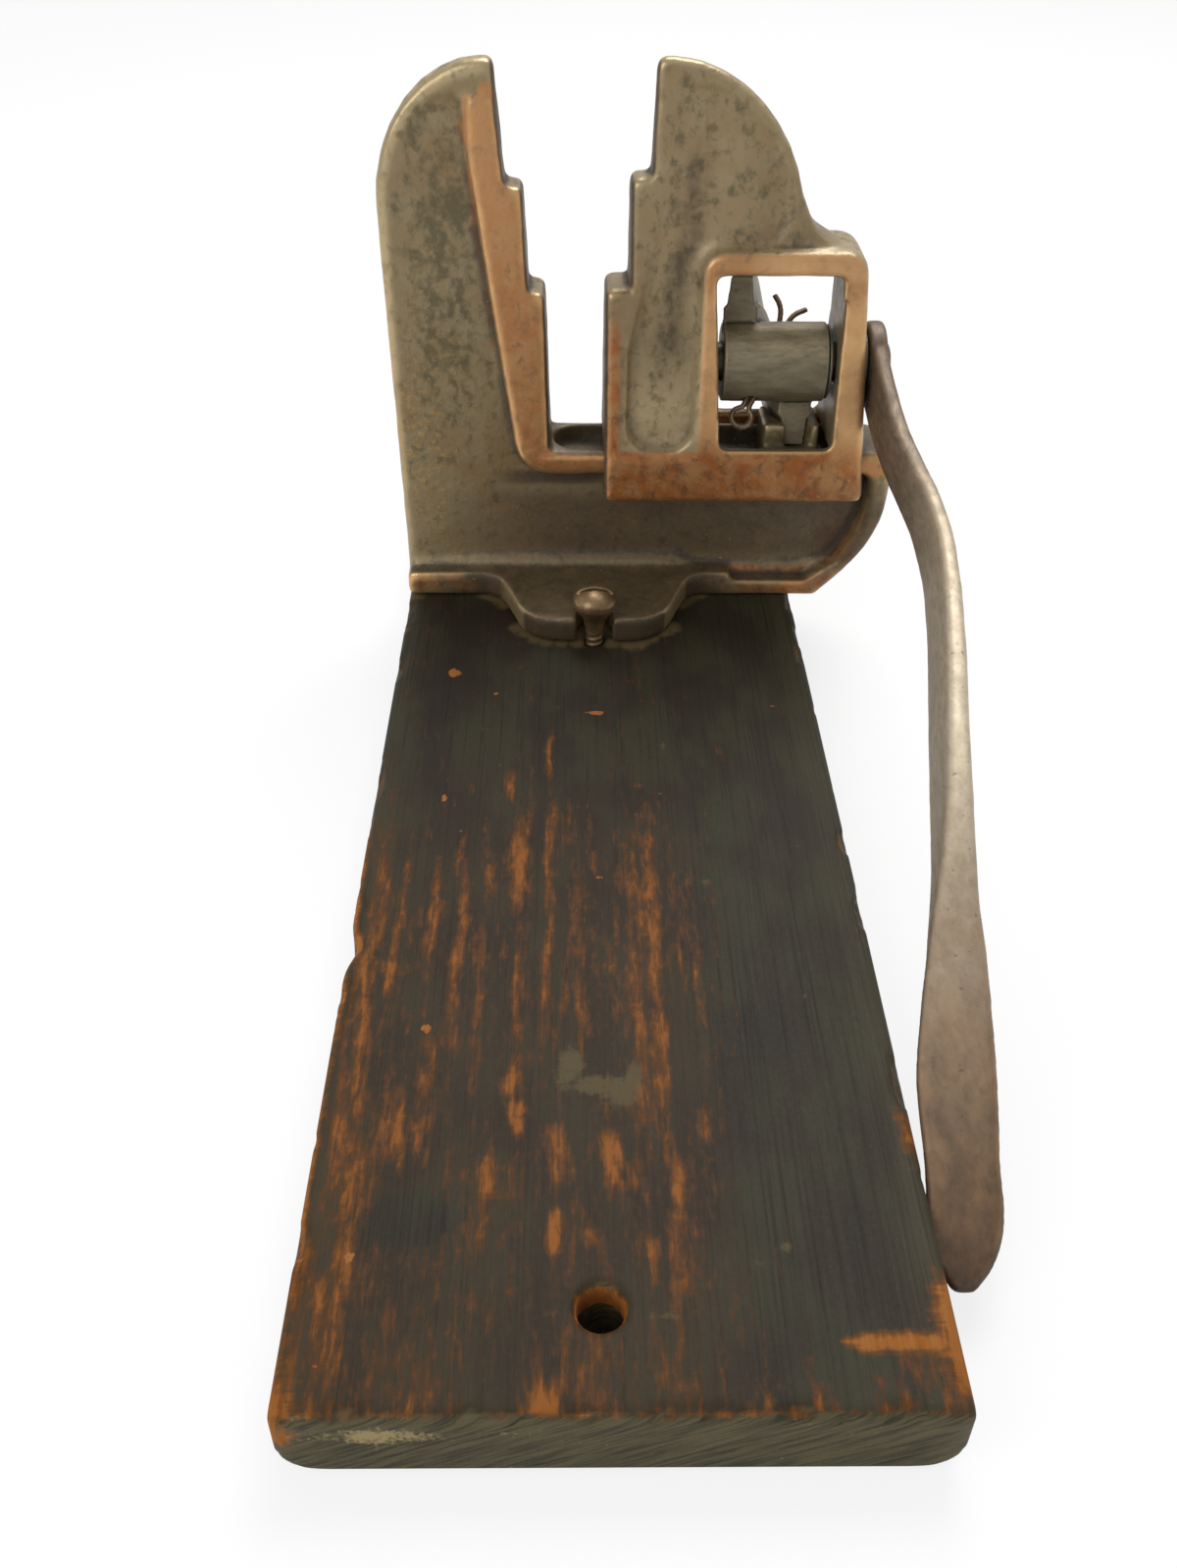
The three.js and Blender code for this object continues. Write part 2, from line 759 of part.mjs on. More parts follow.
// Two lugs that stand in the trough and hold the cam rib between them
function followerFork() {
  const lugs = block(
    [ribPlace - forkLength / 2, ribPlace + forkLength / 2],
    [midPlane - forkWidth / 2, midPlane + forkWidth / 2],
    [railTop - troughDepth - seatGap, railTop + forkAboveRail],
  );
  const barrelRoom = roundBar(ribCollarRadius + camGap, ribPlace - forkLength, ribPlace + forkLength);
  const ribRoom = camRib(camGap, ribLeadAngle + forkSweepAngle, ribLeadAngle + 2 * forkSweepAngle);
  return cut(lugs, barrelRoom, ribRoom);
}

function makeFrame() {
  let core = corePlate();
  for (const side of [-1, 1]) {
    core = joined(cut(core, jawDish(side), footPanel(side)), footRidge(side));
  }
  const body = cut(joined(core, railLip(), rimStrip()), railTrough());
  return cut(joined(body, makeFoot(), followerFork()), earNotch(-1), earNotch(1));
}

// Base screws, with their tip at the bottom; grown by a clearance they also cut their own pilot holes

function screwProfile(clearance, top) {
  const radius = screwShankRadius + clearance;
  const tip = boardTop - screwBite - clearance;
  return [
    [0, tip - clearance],
    [radius, tip + screwPointLength],
    [radius, top],
    [0, top],
  ];
}

function makeScrew() {
  const neck = boardTop + screwStandOff;
  const rim = neck + screwConeHeight;
  const crown = rim + screwRimHeight;
  const dome = Array.from({ length: curveSteps }, (_, index) => {
    const turn = (Math.PI / 2) * (index / curveSteps);
    return [screwHeadRadius * Math.cos(turn), crown + screwCrownHeight * Math.sin(turn)];
  });
  const body = toSolid(turned([
    ...screwProfile(0, neck - screwNeckRadius).slice(0, -1),
    [screwNeckRadius, neck],
    [screwHeadRadius, rim],
    ...dome,
    [0, crown + screwCrownHeight],
  ]));
  const slot = block(
    [-screwHeadRadius - overrun, screwHeadRadius + overrun],
    [-screwSlotWidth / 2, screwSlotWidth / 2],
    [crown + screwCrownHeight - screwSlotDepth, crown + screwCrownHeight + overrun],
  );
  return cut(body, slot);
}

// Sliding jaw

// The blade stands on a wider foot: the lower part thins quickly up to the first step, the upper part slowly
function bladeFootPlate() {
  const outline = roundedOutline([
    [sliderFace, bandTop - overrun, castCornerRadius],
    [windowLeft, bandTop - overrun, castCornerRadius],
    [windowLeft, sliderFirstStep, castCornerRadius],
    [sliderFace, sliderFirstStep, castCornerRadius],
  ]);
  const start = bandTop - overrun;
  const low = [start, evenlyWithHeight(start, sliderFoot, sliderBoxCrown) - seatGap];
  return taperedPlate(outline, low, [sliderFirstStep, bladeHalfAtFirstStep], castEdgeDepth, castEdgeInset);
}

function bladePlate() {
  const middleFace = sliderFace + sliderFirstStepDepth;
  const topFace = middleFace + sliderSecondStepDepth;
  const tip = topFace + sliderTopLean;
  const blade = curveInBox(
    bladeCurveShares,
    [bladeFoot, sliderBoxTop + bladeCurveStart],
    [tip + bladeTopWidth, sliderTop],
  );
  const outline = roundedOutline([
    [middleFace, bandTop, castCornerRadius],
    [bladeFoot + shoulderRunOut, bandTop, castCornerRadius],
    [bladeFoot + shoulderRunOut, sliderBoxTop, castCornerRadius],
    [bladeFoot + shoulderFilletWidth, sliderBoxTop + shoulderRise, shoulderFilletRadius],
    ...blade,
    [tip, sliderTop, bladeTipRadius],
    [topFace, sliderSecondStep, innerCornerRadius],
    [middleFace, sliderSecondStep, castCornerRadius],
  ]);
  const low = [sliderFirstStep, bladeHalfAtFirstStep];
  return taperedPlate(outline, low, [sliderTop, bladeHalfAtTop], castEdgeDepth, castEdgeInset);
}

// Box round the window, with a band that runs left under the flute; it thins upwards
function sliderBox() {
  const outline = roundedOutline([
    [sliderFace, sliderBottom, castCornerRadius],
    [sliderRight, sliderBottom, castCornerRadius],
    [sliderRight - sliderBoxTopInset, sliderBoxTop, shoulderRadius],
    [fluteRight, sliderBoxTop, shoulderRadius],
    [fluteRight, bandTop, innerCornerRadius],
    [sliderFace, bandTop, castCornerRadius],
  ]);
  return taperedPlate(outline, sliderFoot, sliderBoxCrown, castEdgeDepth, castEdgeInset);
}

// Saddle for the rail's lip; hooks reach under it beside the web and stop short of the panel's right border
function railSaddle() {
  const across = [sliderFace - overrun, sliderRight + overrun];
  const lipHalf = railWidth / 2 + slideGap;
  const webHalf = webThickness / 2 + hookGap;
  const pastHooks = [sliderRight - hookEndInset, sliderRight + overrun];
  return joined(
    block(across, [midPlane - lipHalf, midPlane + lipHalf], [lipBottom - slideGap, railTop + slideGap]),
    block(across, [midPlane - webHalf, midPlane + webHalf], [sliderBottom - overrun, railTop]),
    block(pastHooks, [midPlane - lipHalf, midPlane + lipHalf], [sliderBottom - overrun, railTop]),
  );
}

function sliderWindow() {
  const opening = roundedOutline([
    [windowLeft, windowFloor, windowCornerRadius],
    [windowRight, windowFloor, windowCornerRadius],
    [windowRight - windowRightTaper, windowCeiling, windowCornerRadius],
    [windowLeft - windowLeftTaper, windowCeiling, windowCornerRadius],
  ]);
  const through = plateAcross(opening, midPlane - sliderDepth, midPlane + sliderDepth);
  const innerHalf = railWidth / 2 + slideGap;
  const cavity = block([windowLeft, windowRight], [midPlane - innerHalf, midPlane + innerHalf], [railTop, windowFloor + overrun]);
  const ribRoom = roundBar(ribRadius + 2 * seatGap, windowLeft, windowRight, 2 * shaftSegments);
  return joined(through, cavity, ribRoom);
}

// Where a line through [across, up] points, written upwards, stands at one level
function acrossAt(level, points) {
  const index = Math.max(1, points.findIndex(([, up]) => up > level));
  const [lowAcross, lowUp] = points[index - 1];
  const [highAcross, highUp] = points[index];
  return evenlyWithHeight(level, [lowUp, lowAcross], [highUp, highAcross]);
}

// Flute beside the window that opens into the dished face of the blade; its fillet fits its narrowest place
function sliderFlute(side) {
  const corner = fluteFillet + castCornerExtra;
  const floor = railTop + fluteFloorAboveRail;
  const right = fluteRight;
  const ledge = windowCeiling + windowTopBarHeight;
  const lowEdge = sliderFace + sliderRimWidth;
  const middleEdge = lowEdge + sliderFirstStepDepth;
  const topEdge = middleEdge + sliderSecondStepDepth + sliderTopLean + sliderRimWidthAtTop - sliderRimWidth;
  const top = sliderTop - bladeBeadWidth;
  const bladeRight = bladeFoot - bladeBeadWidth;
  const bladeCurve = curveInBox(
    bladeCurveShares,
    [bladeRight, sliderBoxTop + bladeCurveStart],
    [topEdge - sliderRimWidthAtTop + bladeTopWidth, top],
  );
  const bladeEdge = spaced(bladeCurve, corner).filter(([across]) => across > topEdge + 2 * corner);
  const leftEdge = [
    [lowEdge, floor + fluteStraightShare * (sliderFirstStep - floor)],
    [middleEdge, (sliderFirstStep + sliderSecondStep) / 2],
    [topEdge, top - bladeBeadWidth, corner],
  ];
  const fillet = Math.min(fluteFillet, filletRoomShare * (right - acrossAt(ledge, leftEdge)));
  const outline = roundedOutline([
    [lowEdge, floor, fluteRadius],
    [right, floor, fluteRadius],
    [right, ledge, shoulderRadius],
    [bladeRight, ledge, shoulderRadius],
    ...bladeEdge,
    ...leftEdge.reverse(),
  ]);
  return recessTool(outline, side, [floor, fluteFloorHalf], [sliderTop, fluteTopHalf], fillet);
}

function makeSlider() {
  const boss = roundBar(bossRadius, windowRight + seatGap, bossFace);
  const spotFace = roundBar(bossRadius + seatGap, bossFace, bossFace + overrun);
  const bore = roundBar(shaftRadius + seatGap, windowLeft - windowLeftTaper - shaftBlindDepth, bossFace + overrun);
  const casting = joined(sliderBox(), bladeFootPlate(), bladePlate(), boss);
  return cut(casting, sliderFlute(-1), sliderFlute(1), railSaddle(), sliderWindow(), spotFace, bore);
}

// Cam

// The rib winds from just ahead of straight down, round the back and over the top, at a constant pitch
function camRib(clearance, leadAngle, sweepAngle) {
  const collar = ribCollarWidth / 2 + clearance;
  const root = ribRootWidth / 2 + clearance;
  const tip = ribTipWidth / 2 + clearance;
  const inner = barrelRadius - shaftRadius / 2;
  const profile = [
    [-collar, inner],
    [-collar, ribCollarRadius - ribShoulder],
    [-root, ribCollarRadius],
    [-tip, ribRadius + clearance],
    [tip, ribRadius + clearance],
    [root, ribCollarRadius],
    [collar, ribCollarRadius - ribShoulder],
    [collar, inner],
  ];
  const count = Math.round(sweepAngle / ribStepAngle);
  const rings = Array.from({ length: count + 1 }, (_, index) => {
    const fromBottom = (sweepAngle * index) / count - leadAngle;
    const turn = THREE.MathUtils.degToRad(fromBottom);
    const place = ribPlace - pitchPerDegree * fromBottom;
    return profile.map(([along, radius]) => new THREE.Vector3(
      place + along,
      midPlane + radius * Math.sin(turn),
      shaftLevel - radius * Math.cos(turn),
    ));
  });
  return throughRings(rings, profile.map(([along, radius]) => new THREE.Vector2(along, radius)));
}

function cotterFrame() {
  const lean = THREE.MathUtils.degToRad(cotterLeanAngle);
  const tilt = THREE.MathUtils.degToRad(cotterTiltAngle);
  const up = new THREE.Vector3(Math.sin(lean), Math.cos(lean) * Math.sin(tilt), Math.cos(lean) * Math.cos(tilt));
  const across = new THREE.Vector3(Math.cos(lean), -Math.sin(lean) * Math.sin(tilt), -Math.sin(lean) * Math.cos(tilt));
  const centre = new THREE.Vector3(windowLeft + cotterCrossing, midPlane, shaftLevel);
  const at = (along, aside) => centre.clone().addScaledVector(up, along).addScaledVector(across, aside);
  return { up, at };
}

function cotterHole() {
  const { up, at } = cotterFrame();
  const radius = cotterLegSpacing / 2 + cotterLegRadius + seatGap;
  const geometry = new THREE.CylinderGeometry(radius, radius, 2 * (barrelRadius + overrun), turnedSegments);
  geometry.applyQuaternion(new THREE.Quaternion().setFromUnitVectors(new THREE.Vector3(0, 1, 0), up));
  const middle = at(0, 0);
  geometry.translate(middle.x, middle.y, middle.z);
  return toSolid(geometry);
}

function makeBarrel() {
  const body = roundBar(barrelRadius, barrelLeft, barrelRight);
  const bore = roundBar(shaftRadius + seatGap, barrelLeft - overrun, barrelRight + overrun);
  return cut(joined(body, camRib(0, ribLeadAngle, ribSweepAngle)), bore, cotterHole());
}

function squareBar(across, left, right) {
  const half = across / 2;
  return block([left, right], [midPlane - half, midPlane + half], [shaftLevel - half, shaftLevel + half]);
}

// Shaft with a square end in the lever, riveted over on the outside
function makeShaft() {
  const left = windowLeft - windowLeftTaper - shaftBlindDepth + seatGap;
  const shoulder = leverInner - seatGap;
  const headSeat = leverOuter + seatGap;
  const head = turned([
    [0, 0],
    ...Array.from({ length: curveSteps + 1 }, (_, index) => {
      const turn = (Math.PI / 2) * (index / curveSteps);
      return [rivetHeadRadius * Math.cos(turn), rivetHeadHeight * Math.sin(turn)];
    }),
  ]);
  head.rotateY(Math.PI / 2);
  head.translate(headSeat, midPlane, shaftLevel);
  const body = joined(
    roundBar(shaftRadius, left, shoulder),
    squareBar(squareAcross, shoulder - overrun, headSeat + seatGap),
    toSolid(head),
  );
  return cut(body, cotterHole());
}

function makeWasher(radius, left, thickness) {
  const disc = roundBar(radius, left, left + thickness);
  return cut(disc, roundBar(shaftRadius + seatGap, left - overrun, left + thickness + overrun));
}

// One bent wire: short prong, leg, round the eye, leg, long prong
function makeCotterPin() {
  const { at } = cotterFrame();
  const half = cotterLegSpacing / 2;
  const eyeCentre = -(barrelRadius + cotterNeckLength + cotterEyeRadius + cotterLegRadius);
  const opening = Math.asin(half / cotterEyeRadius);
  const eye = Array.from({ length: eyeSteps + 1 }, (_, index) => {
    const turn = -opening - (2 * Math.PI - 2 * opening) * (index / eyeSteps);
    return at(eyeCentre + cotterEyeRadius * Math.cos(turn), cotterEyeRadius * Math.sin(turn));
  });
  const bend = barrelRadius + cotterNeckLength;
  const wire = new THREE.CatmullRomCurve3([
    at(bend + cotterProngLength, -cotterLeftSpread),
    at(bend + cotterProngLength / 2, -cotterLeftSpread / 2),
    at(barrelRadius, -half),
    at(0, -half),
    at(-barrelRadius, -half),
    ...eye,
    at(-barrelRadius, half),
    at(0, half),
    at(barrelRadius, half),
    at(bend + cotterProngLength / 3, half + cotterLegRadius),
    at(bend + cotterProngLength, cotterRightSpread),
  ], false, 'centripetal');
  const section = new THREE.Shape();
  section.absarc(0, 0, cotterLegRadius, 0, 2 * Math.PI);
  const geometry = new THREE.ExtrudeGeometry(section, {
    steps: cotterSteps,
    curveSegments: cornerSteps,
    extrudePath: wire,
  });
  return toSolid(geometry);
}

// Hand lever

function leverRing(stations, heights, share) {
  const [alongShare, asideShare, widthShare] = stations.getPoint(share).toArray();
  const aside = asideShare * (asideShare > 0 ? leverOutset : leverInset);
  const reach = leverReach * alongShare;
  const centre = new THREE.Vector3(
    (leverInner + leverOuter) / 2 + aside,
    midPlane - reach,
    shaftLevel - reach * leverDroopShare,
  );
  const side = new THREE.Vector3(1, 0, 0);
  const up = new THREE.Vector3(0, -leverDroopShare, 1).normalize();
  const squared = (value) => Math.sign(value) * Math.abs(value) ** leverSquarenessShare;
  return Array.from({ length: leverRingSides }, (_, index) => {
    const around = (2 * Math.PI * (index + 0.5)) / leverRingSides;
    return centre.clone()
      .addScaledVector(side, (squared(Math.cos(around)) * leverPaddleWidth * widthShare) / 2)
      .addScaledVector(up, (squared(Math.sin(around)) * leverBarHeight * heights.getPoint(share).x) / 2);
  });
}

function makeLever() {
  const stations = new THREE.CatmullRomCurve3(
    leverStationShares.map(([along, aside, width]) => new THREE.Vector3(along, aside, width)),
  );
  const heights = new THREE.CatmullRomCurve3(
    leverStationShares.map(([, , , height]) => new THREE.Vector3(height, 0, 0)),
  );
  const rings = Array.from({ length: leverRingCount }, (_, index) => (
    leverRing(stations, heights, index / (leverRingCount - 1))
  ));
  const capOutline = rings[0].map((point) => new THREE.Vector2(point.x, point.z));
  const bar = throughRings(rings, capOutline);
  const disc = new THREE.Shape();
  disc.absarc(midPlane, shaftLevel, leverEyeRadius, 0, 2 * Math.PI);
  const geometry = new THREE.ExtrudeGeometry(disc, {
    depth: leverThickness - 2 * leverEyeRounding,
    curveSegments: shaftSegments / 2,
    bevelThickness: leverEyeRounding,
    bevelSize: leverEyeRounding,
    bevelOffset: -leverEyeRounding,
    bevelSegments: edgeSteps,
  });
  geometry.rotateX(Math.PI / 2);
  geometry.rotateZ(Math.PI / 2);
  geometry.translate(leverInner + leverEyeRounding, 0, 0);
  const squareHole = squareBar(squareAcross + 2 * seatGap, leverInner - overrun, leverOuter + overrun);
  return cut(joined(toSolid(geometry), bar), squareHole);
}

// The assembly

const wood = { color: 0x2b2520, roughness: 0.75, metalness: 0 };
const castIron = { color: 0x5b4c3a, roughness: 0.5, metalness: 0.6 };
const wornIron = { color: 0x6a523e, roughness: 0.45, metalness: 0.65 };
const camIron = { color: 0x35332c, roughness: 0.6, metalness: 0.5 };
const forgedSteel = { color: 0x6f6259, roughness: 0.4, metalness: 0.75 };
const brownedSteel = { color: 0x4e4234, roughness: 0.35, metalness: 0.75 };

const frame = new THREE.Group();
frame.add(makeMesh('base_board', makeBoard(), wood));
frame.add(makeMesh('frame_casting', makeFrame(), castIron));
for (const [name, side] of [['front_base_screw', -1], ['rear_base_screw', 1]]) {
  const screw = makeMesh(name, makeScrew(), brownedSteel);
  screw.position.set(earCentre, midPlane + side * screwReach, 0);
  frame.add(screw);
}

const slidingJaw = new THREE.Group();
slidingJaw.add(makeMesh('sliding_jaw', makeSlider(), wornIron));

const leverGroup = new THREE.Group();
leverGroup.add(makeMesh('cam_barrel', makeBarrel(), camIron));
leverGroup.add(makeMesh('cam_shaft', makeShaft(), brownedSteel));
leverGroup.add(makeMesh('cotter_pin', makeCotterPin(), brownedSteel));
leverGroup.add(makeMesh('thrust_washer', makeWasher(thrustWasherRadius, barrelRight + seatGap, thrustWasherThickness), camIron));
leverGroup.add(makeMesh('lever_washer', makeWasher(leverWasherRadius, bossFace + seatGap, leverWasherThickness), brownedSteel));
leverGroup.add(makeMesh('lever', makeLever(), forgedSteel));

slidingJaw.add(leverGroup);
const group = new THREE.Group();
group.add(frame, slidingJaw);

export default group;
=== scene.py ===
import math

import bpy
import numpy as np
from mathutils import Matrix, Vector, kdtree, noise


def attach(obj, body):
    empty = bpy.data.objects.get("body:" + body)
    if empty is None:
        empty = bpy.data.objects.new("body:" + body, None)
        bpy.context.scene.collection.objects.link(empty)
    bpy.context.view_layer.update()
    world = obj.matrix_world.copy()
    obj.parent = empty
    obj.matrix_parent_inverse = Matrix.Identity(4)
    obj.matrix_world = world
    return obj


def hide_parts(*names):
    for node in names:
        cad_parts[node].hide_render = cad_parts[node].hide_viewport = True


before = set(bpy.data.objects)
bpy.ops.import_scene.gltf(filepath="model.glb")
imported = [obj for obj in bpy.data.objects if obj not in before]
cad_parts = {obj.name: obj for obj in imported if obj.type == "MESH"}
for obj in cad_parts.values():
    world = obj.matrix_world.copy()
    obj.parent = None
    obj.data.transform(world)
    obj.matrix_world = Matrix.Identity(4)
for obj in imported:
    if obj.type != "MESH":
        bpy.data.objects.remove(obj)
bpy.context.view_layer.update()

MM = 0.001

# The camera, as the photograph was taken, with its focal length in the photograph's pixels
PHOTO_HEIGHT = 1599
FOCAL_PIXELS = 1450
SENSOR = 36
CAMERA_PLACE = Vector((-0.0096, -0.3414, 0.2904))
CAMERA_RIGHT = Vector((0.999946, -0.008128, 0.006398))
CAMERA_UP = Vector((0.0, 0.61853, 0.785742))
CAMERA_FORWARD = Vector((0.010344, 0.78570, -0.618497))
NEAREST_SEEN = 0.01

# The stage and the lamps, in metres
FLOOR_REACH = 6.0
FLOOR_DROP = 0.0005
FLOOR_WHITE = (0.86, 0.86, 0.85, 1)
FLOOR_GLOW_SEEN = 0.8
SKY_TONE = (0.97, 0.98, 1.0, 1)
SKY_LIGHT = 0.62
SKY_SEEN = 1.0

# Sizes of the solids, in millimetres, that the looks follow
BOARD_WIDTH = 140
BOARD_LENGTH = 400
BOARD_TOP = 22
MID_PLANE = 126
RAIL_TOP = 78
LIP_BOTTOM = 69
FOOT_TOP = 31.3
FOOT_MIDDLE = -5
FOOT_ENDS = (36, 60)
PANEL_TOP = 62
FRAME_LEFT = (-71, -67)
FRAME_RIGHT = (70, 84)
LIP_START = (-26, -18)
TROUGH_START = (-20, -16)
TROUGH_WALL = (11, 13)
FORK_ENDS = (46, 84)
FORK_TOP = 95
CROWN_MIDDLE = (-36, 156)
CROWN_REACH = (36, 43)
STRIP_HEIGHTS = (69, 78, 130.7, 163, 189)
STRIP_EDGES = (-29, -29.5, -37.8, -41.5, -43.6)
SLIDER_STEPS = ((60, 132.4, 0.4, 0.4), (132.4, 165.7, 8.0, 8.4), (165.7, 200, 14.4, 15.5))
SLIDER_STRIP_WIDTH = 5.18
SLIDER_RIGHT = (76, 79)
VALLEY_HEIGHTS = (100, 125, 150, 190)
VALLEY_PLACES = (20, 22, 27, 31)
VALLEY_REACH = 5.5
BAND_TOP = 79.5
WINDOW = (40.0, 77.8, 80.7, 137.9)
WINDOW_RIM = 9
BENCH_HOLE = (-4, -176)
BENCH_HOLE_RADIUS = 5.25
SCREW_PLACES = ((-2.4, 81.2), (-2.4, 170.8))
SHANK_RADIUS = 3.15
THREAD_PITCH = 2.2
THREAD_DEPTH = 0.42
THREAD_TOP = 26
LEVER_TIP = (136, 162)

# Places along the lever, by their Y, and how much painted highlight and painted shade it gets there, 0 to 1
LEVER_PLACES = (-165, -150, -110, -85, -60, -30, 30, 70, 110)
LEVER_HIGHLIGHT = (0, 0, 0.12, 0.34, 0.66, 0.9, 0.75, 0.35, 0.15)
LEVER_SHADE = (0.6, 0.4, 0.2, 0, 0, 0, 0.1, 0.4, 0.5)

# Where a face starts to count as looking one way, and where it fully does, as shares of its normal
FACES_SIDEWAYS = (0.35, 0.7)
FACES_UP = (0.6, 0.9)
FACES_ONE_WAY = (0.5, 0.8)
LEANS_UP = (0.15, 0.7)

# Where the bead along the fixed jaw's crown starts and is full, as shares of the crown's reach
CROWN_BEAD = (0.86, 0.95)

# Worn places on the board's top: X and Y of the middle, half width, half length, strength
STREAKS = (
    (7, -70, 3.0, 56, 0.70), (12, -81, 1.7, 68, 0.95), (-25, -33, 2.8, 25, 0.90), (-24, -92, 1.8, 34, 0.5),
    (-29, -1, 1.5, 9, 1.0), (-17, 16, 1.3, 13, 0.9), (-16.5, -54, 1.5, 46, 0.75), (-48, -56, 1.4, 24, 0.8),
    (-63.5, -90, 2.6, 70, 0.72), (-57, -70, 1.5, 40, 0.62), (-40, -70, 1.7, 35, 0.65),
    (-34, -80, 1.2, 45, 0.62), (23, -88, 1.0, 42, 0.7), (19, -65, 0.9, 16, 0.75), (-8, -75, 2.2, 38, 0.45),
    (30, 15, 0.5, 60, 0.5), (37, -3, 0.5, 46, 0.5), (44, -28, 0.5, 22, 0.4), (13, -150, 1.8, 26, 0.6),
    (-60, -165, 4.0, 30, 0.5), (-25, -116, 1.8, 5, 1.1), (-22.6, -127, 1.9, 5, 1.1),
    (-13, -137, 2.8, 9, 1.15), (-1, -138, 2.4, 8, 1.0), (60, -191, 4.5, 5, 0.9), (51, -194, 2.6, 4, 0.9),
    (3, -143, 1.2, 4, 1.0), (13, -146, 1.8, 7, 1.0), (-14, -158, 2.2, 6, 1.0), (-6, -160, 1.8, 3, 0.8),
    (21, -129, 1.6, 5, 0.9), (-42, -35, 1.4, 12, 0.8), (-33, -44, 1.6, 8, 0.7), (-50, -130, 2.2, 12, 0.6),
    (-30, -150, 2.0, 14, 0.6), (8, -164, 1.5, 6, 0.8), (14, -168, 1.4, 6, 0.7), (-45, -120, 1.8, 20, 0.5),
)
CHIPS = (
    (-49.4, 60.6, 2.2, 3.0, 1.0), (-35, 48.6, 1.5, 1.3, 0.9), (-3, 37.6, 3.2, 1.3, 1.0),
    (55.6, 41.4, 2.2, 0.7, 0.7), (-49, -7, 1.3, 2.4, 0.8), (-42.4, -22, 1.5, 1.6, 0.7),
    (-2, -43, 2.2, 1.5, 0.6), (-47, -99, 1.6, 1.7, 0.9), (16, -5, 2.2, 3, 0.4), (-58, -35, 2.0, 3, 0.4),
    (-57.6, -164, 1.6, 1.5, 0.8), (-62, -189, 1.5, 1.2, 0.6),
)
PALE_MARKS = (
    (-11, -112, 3.4, 6.0, 1.2), (-5, -117, 5.4, 3.0, 1.2), (2, -119, 5.4, 4.6, 1.2), (5, -114, 1.8, 6.0, 1.0),
    (36, -162, 1.9, 1.6, 1.0), (30, -166, 1.5, 1.2, 0.6), (-10, -98, 0.9, 5.0, 0.35),
    (2, -100, 0.9, 4.0, 0.35), (60, -40, 0.5, 3, 0.5), (50, -88, 0.8, 0.8, 0.6), (33, -20, 0.4, 4, 0.5),
    (-20, 60, 1.2, 0.6, 0.6), (27.4, -45, 1.5, 1.8, 0.8), (22, -44, 1.2, 1.5, 0.7), (19, 19, 1.2, 3.0, 0.6),
    (10, -178, 5.0, 0.9, 0.55),
)

# How sharply those marks end, and how far and how slowly their sides waver, in millimetres
SPOT_EDGE = 1.4
SLOW_BEND = 0.7
SLOW_BEND_LENGTH = 7.3
QUICK_BEND = 0.5
QUICK_BEND_LENGTH = 2.9

# Other worn places of the board, X and Y or X and Z of the middle, and how far they reach
NOTCH_PLACE = -70
NOTCH_REACH = 6
NOTCH_DEPTH = 2.4
KNOT = ((-46, -155), (9, 6))
RIGHT_CORNER = ((71, -183), (5.4, 15))
LEFT_CORNER = ((-70, -197), (6, 9))
RIGHT_CHIP = ((69, -131), (2.8, 8))
GOUGE_MIDDLE = (56, -184.4)
GOUGE_HALF_LENGTH = 12
GOUGE_TAPER = (43, 52)
END_MARK = ((-46, 15), (12, 2.6))
CALM_START = (14, 48)
SIDE_CHIP_REACH = 4.5
SIDE_CHIP_DEPTH = 1.5
END_CHIP_REACH = 4.0
FRONT_CHIP_DEPTH = 1.2
BACK_CHIP_DEPTH = 1.0
TONGUE_REACH = 9
HOLE_RIM_REACH = 0.6
LEFT_WEAR = (-68, 17)
CASTING_START = 60
FAR_AWAY = 99.0

# Rounds of smoothing that a point is set against, and how far out or in counts fully, in millimetres
FINE_ROUNDS = 10
WIDE_ROUNDS = 40
SMALL_ROUNDS = 8
EDGE_BULGE = 0.22
HOLLOW_BULGE = 1.3
NOOK_BULGE = 0.4

# Noise: how far apart its seeds are along X, Y and Z, and how much finer and fainter each octave is
SEED_STEPS = (17.3, 5.7, 11.1)
FINER = 2.1
FAINTER = 0.5


def cloud(points, size, octaves, seed):
    """Smooth noise, about -1 to 1, with bumps about one size across, at points in millimetres."""
    scaled = points / np.array(size)
    shift = Vector([seed * step for step in SEED_STEPS])
    values = np.empty(len(points))
    for index, point in enumerate(scaled):
        place = Vector(point) + shift
        total = 0.0
        weight = 1.0
        for _ in range(octaves):
            total += weight * noise.noise(place)
            place = place * FINER
            weight *= FAINTER
        values[index] = total
    return values


def ramp(values, low, high):
    """0 at low, 1 at high, smooth between."""
    share = np.clip((values - low) / (high - low), 0, 1)
    return share * share * (3 - 2 * share)


def fall(values, low, high):
    """1 at low, 0 at high, smooth between."""
    return ramp(-values, -high, -low)


def band(values, low, high, fade=1.0):
    """1 between low and high, 0 outside, soft by fade on both sides."""
    return ramp(values, low - fade, low + fade) * fall(values, high - fade, high + fade)


def mound(first, second, middle, reach, corners=(2, 2)):
    """1 at the middle, falling away over reach along two directions, squarer with more corners."""
    first_share = (first - middle[0]) / reach[0]
    second_share = (second - middle[1]) / reach[1]
    return np.exp(-first_share ** corners[0] - second_share ** corners[1])


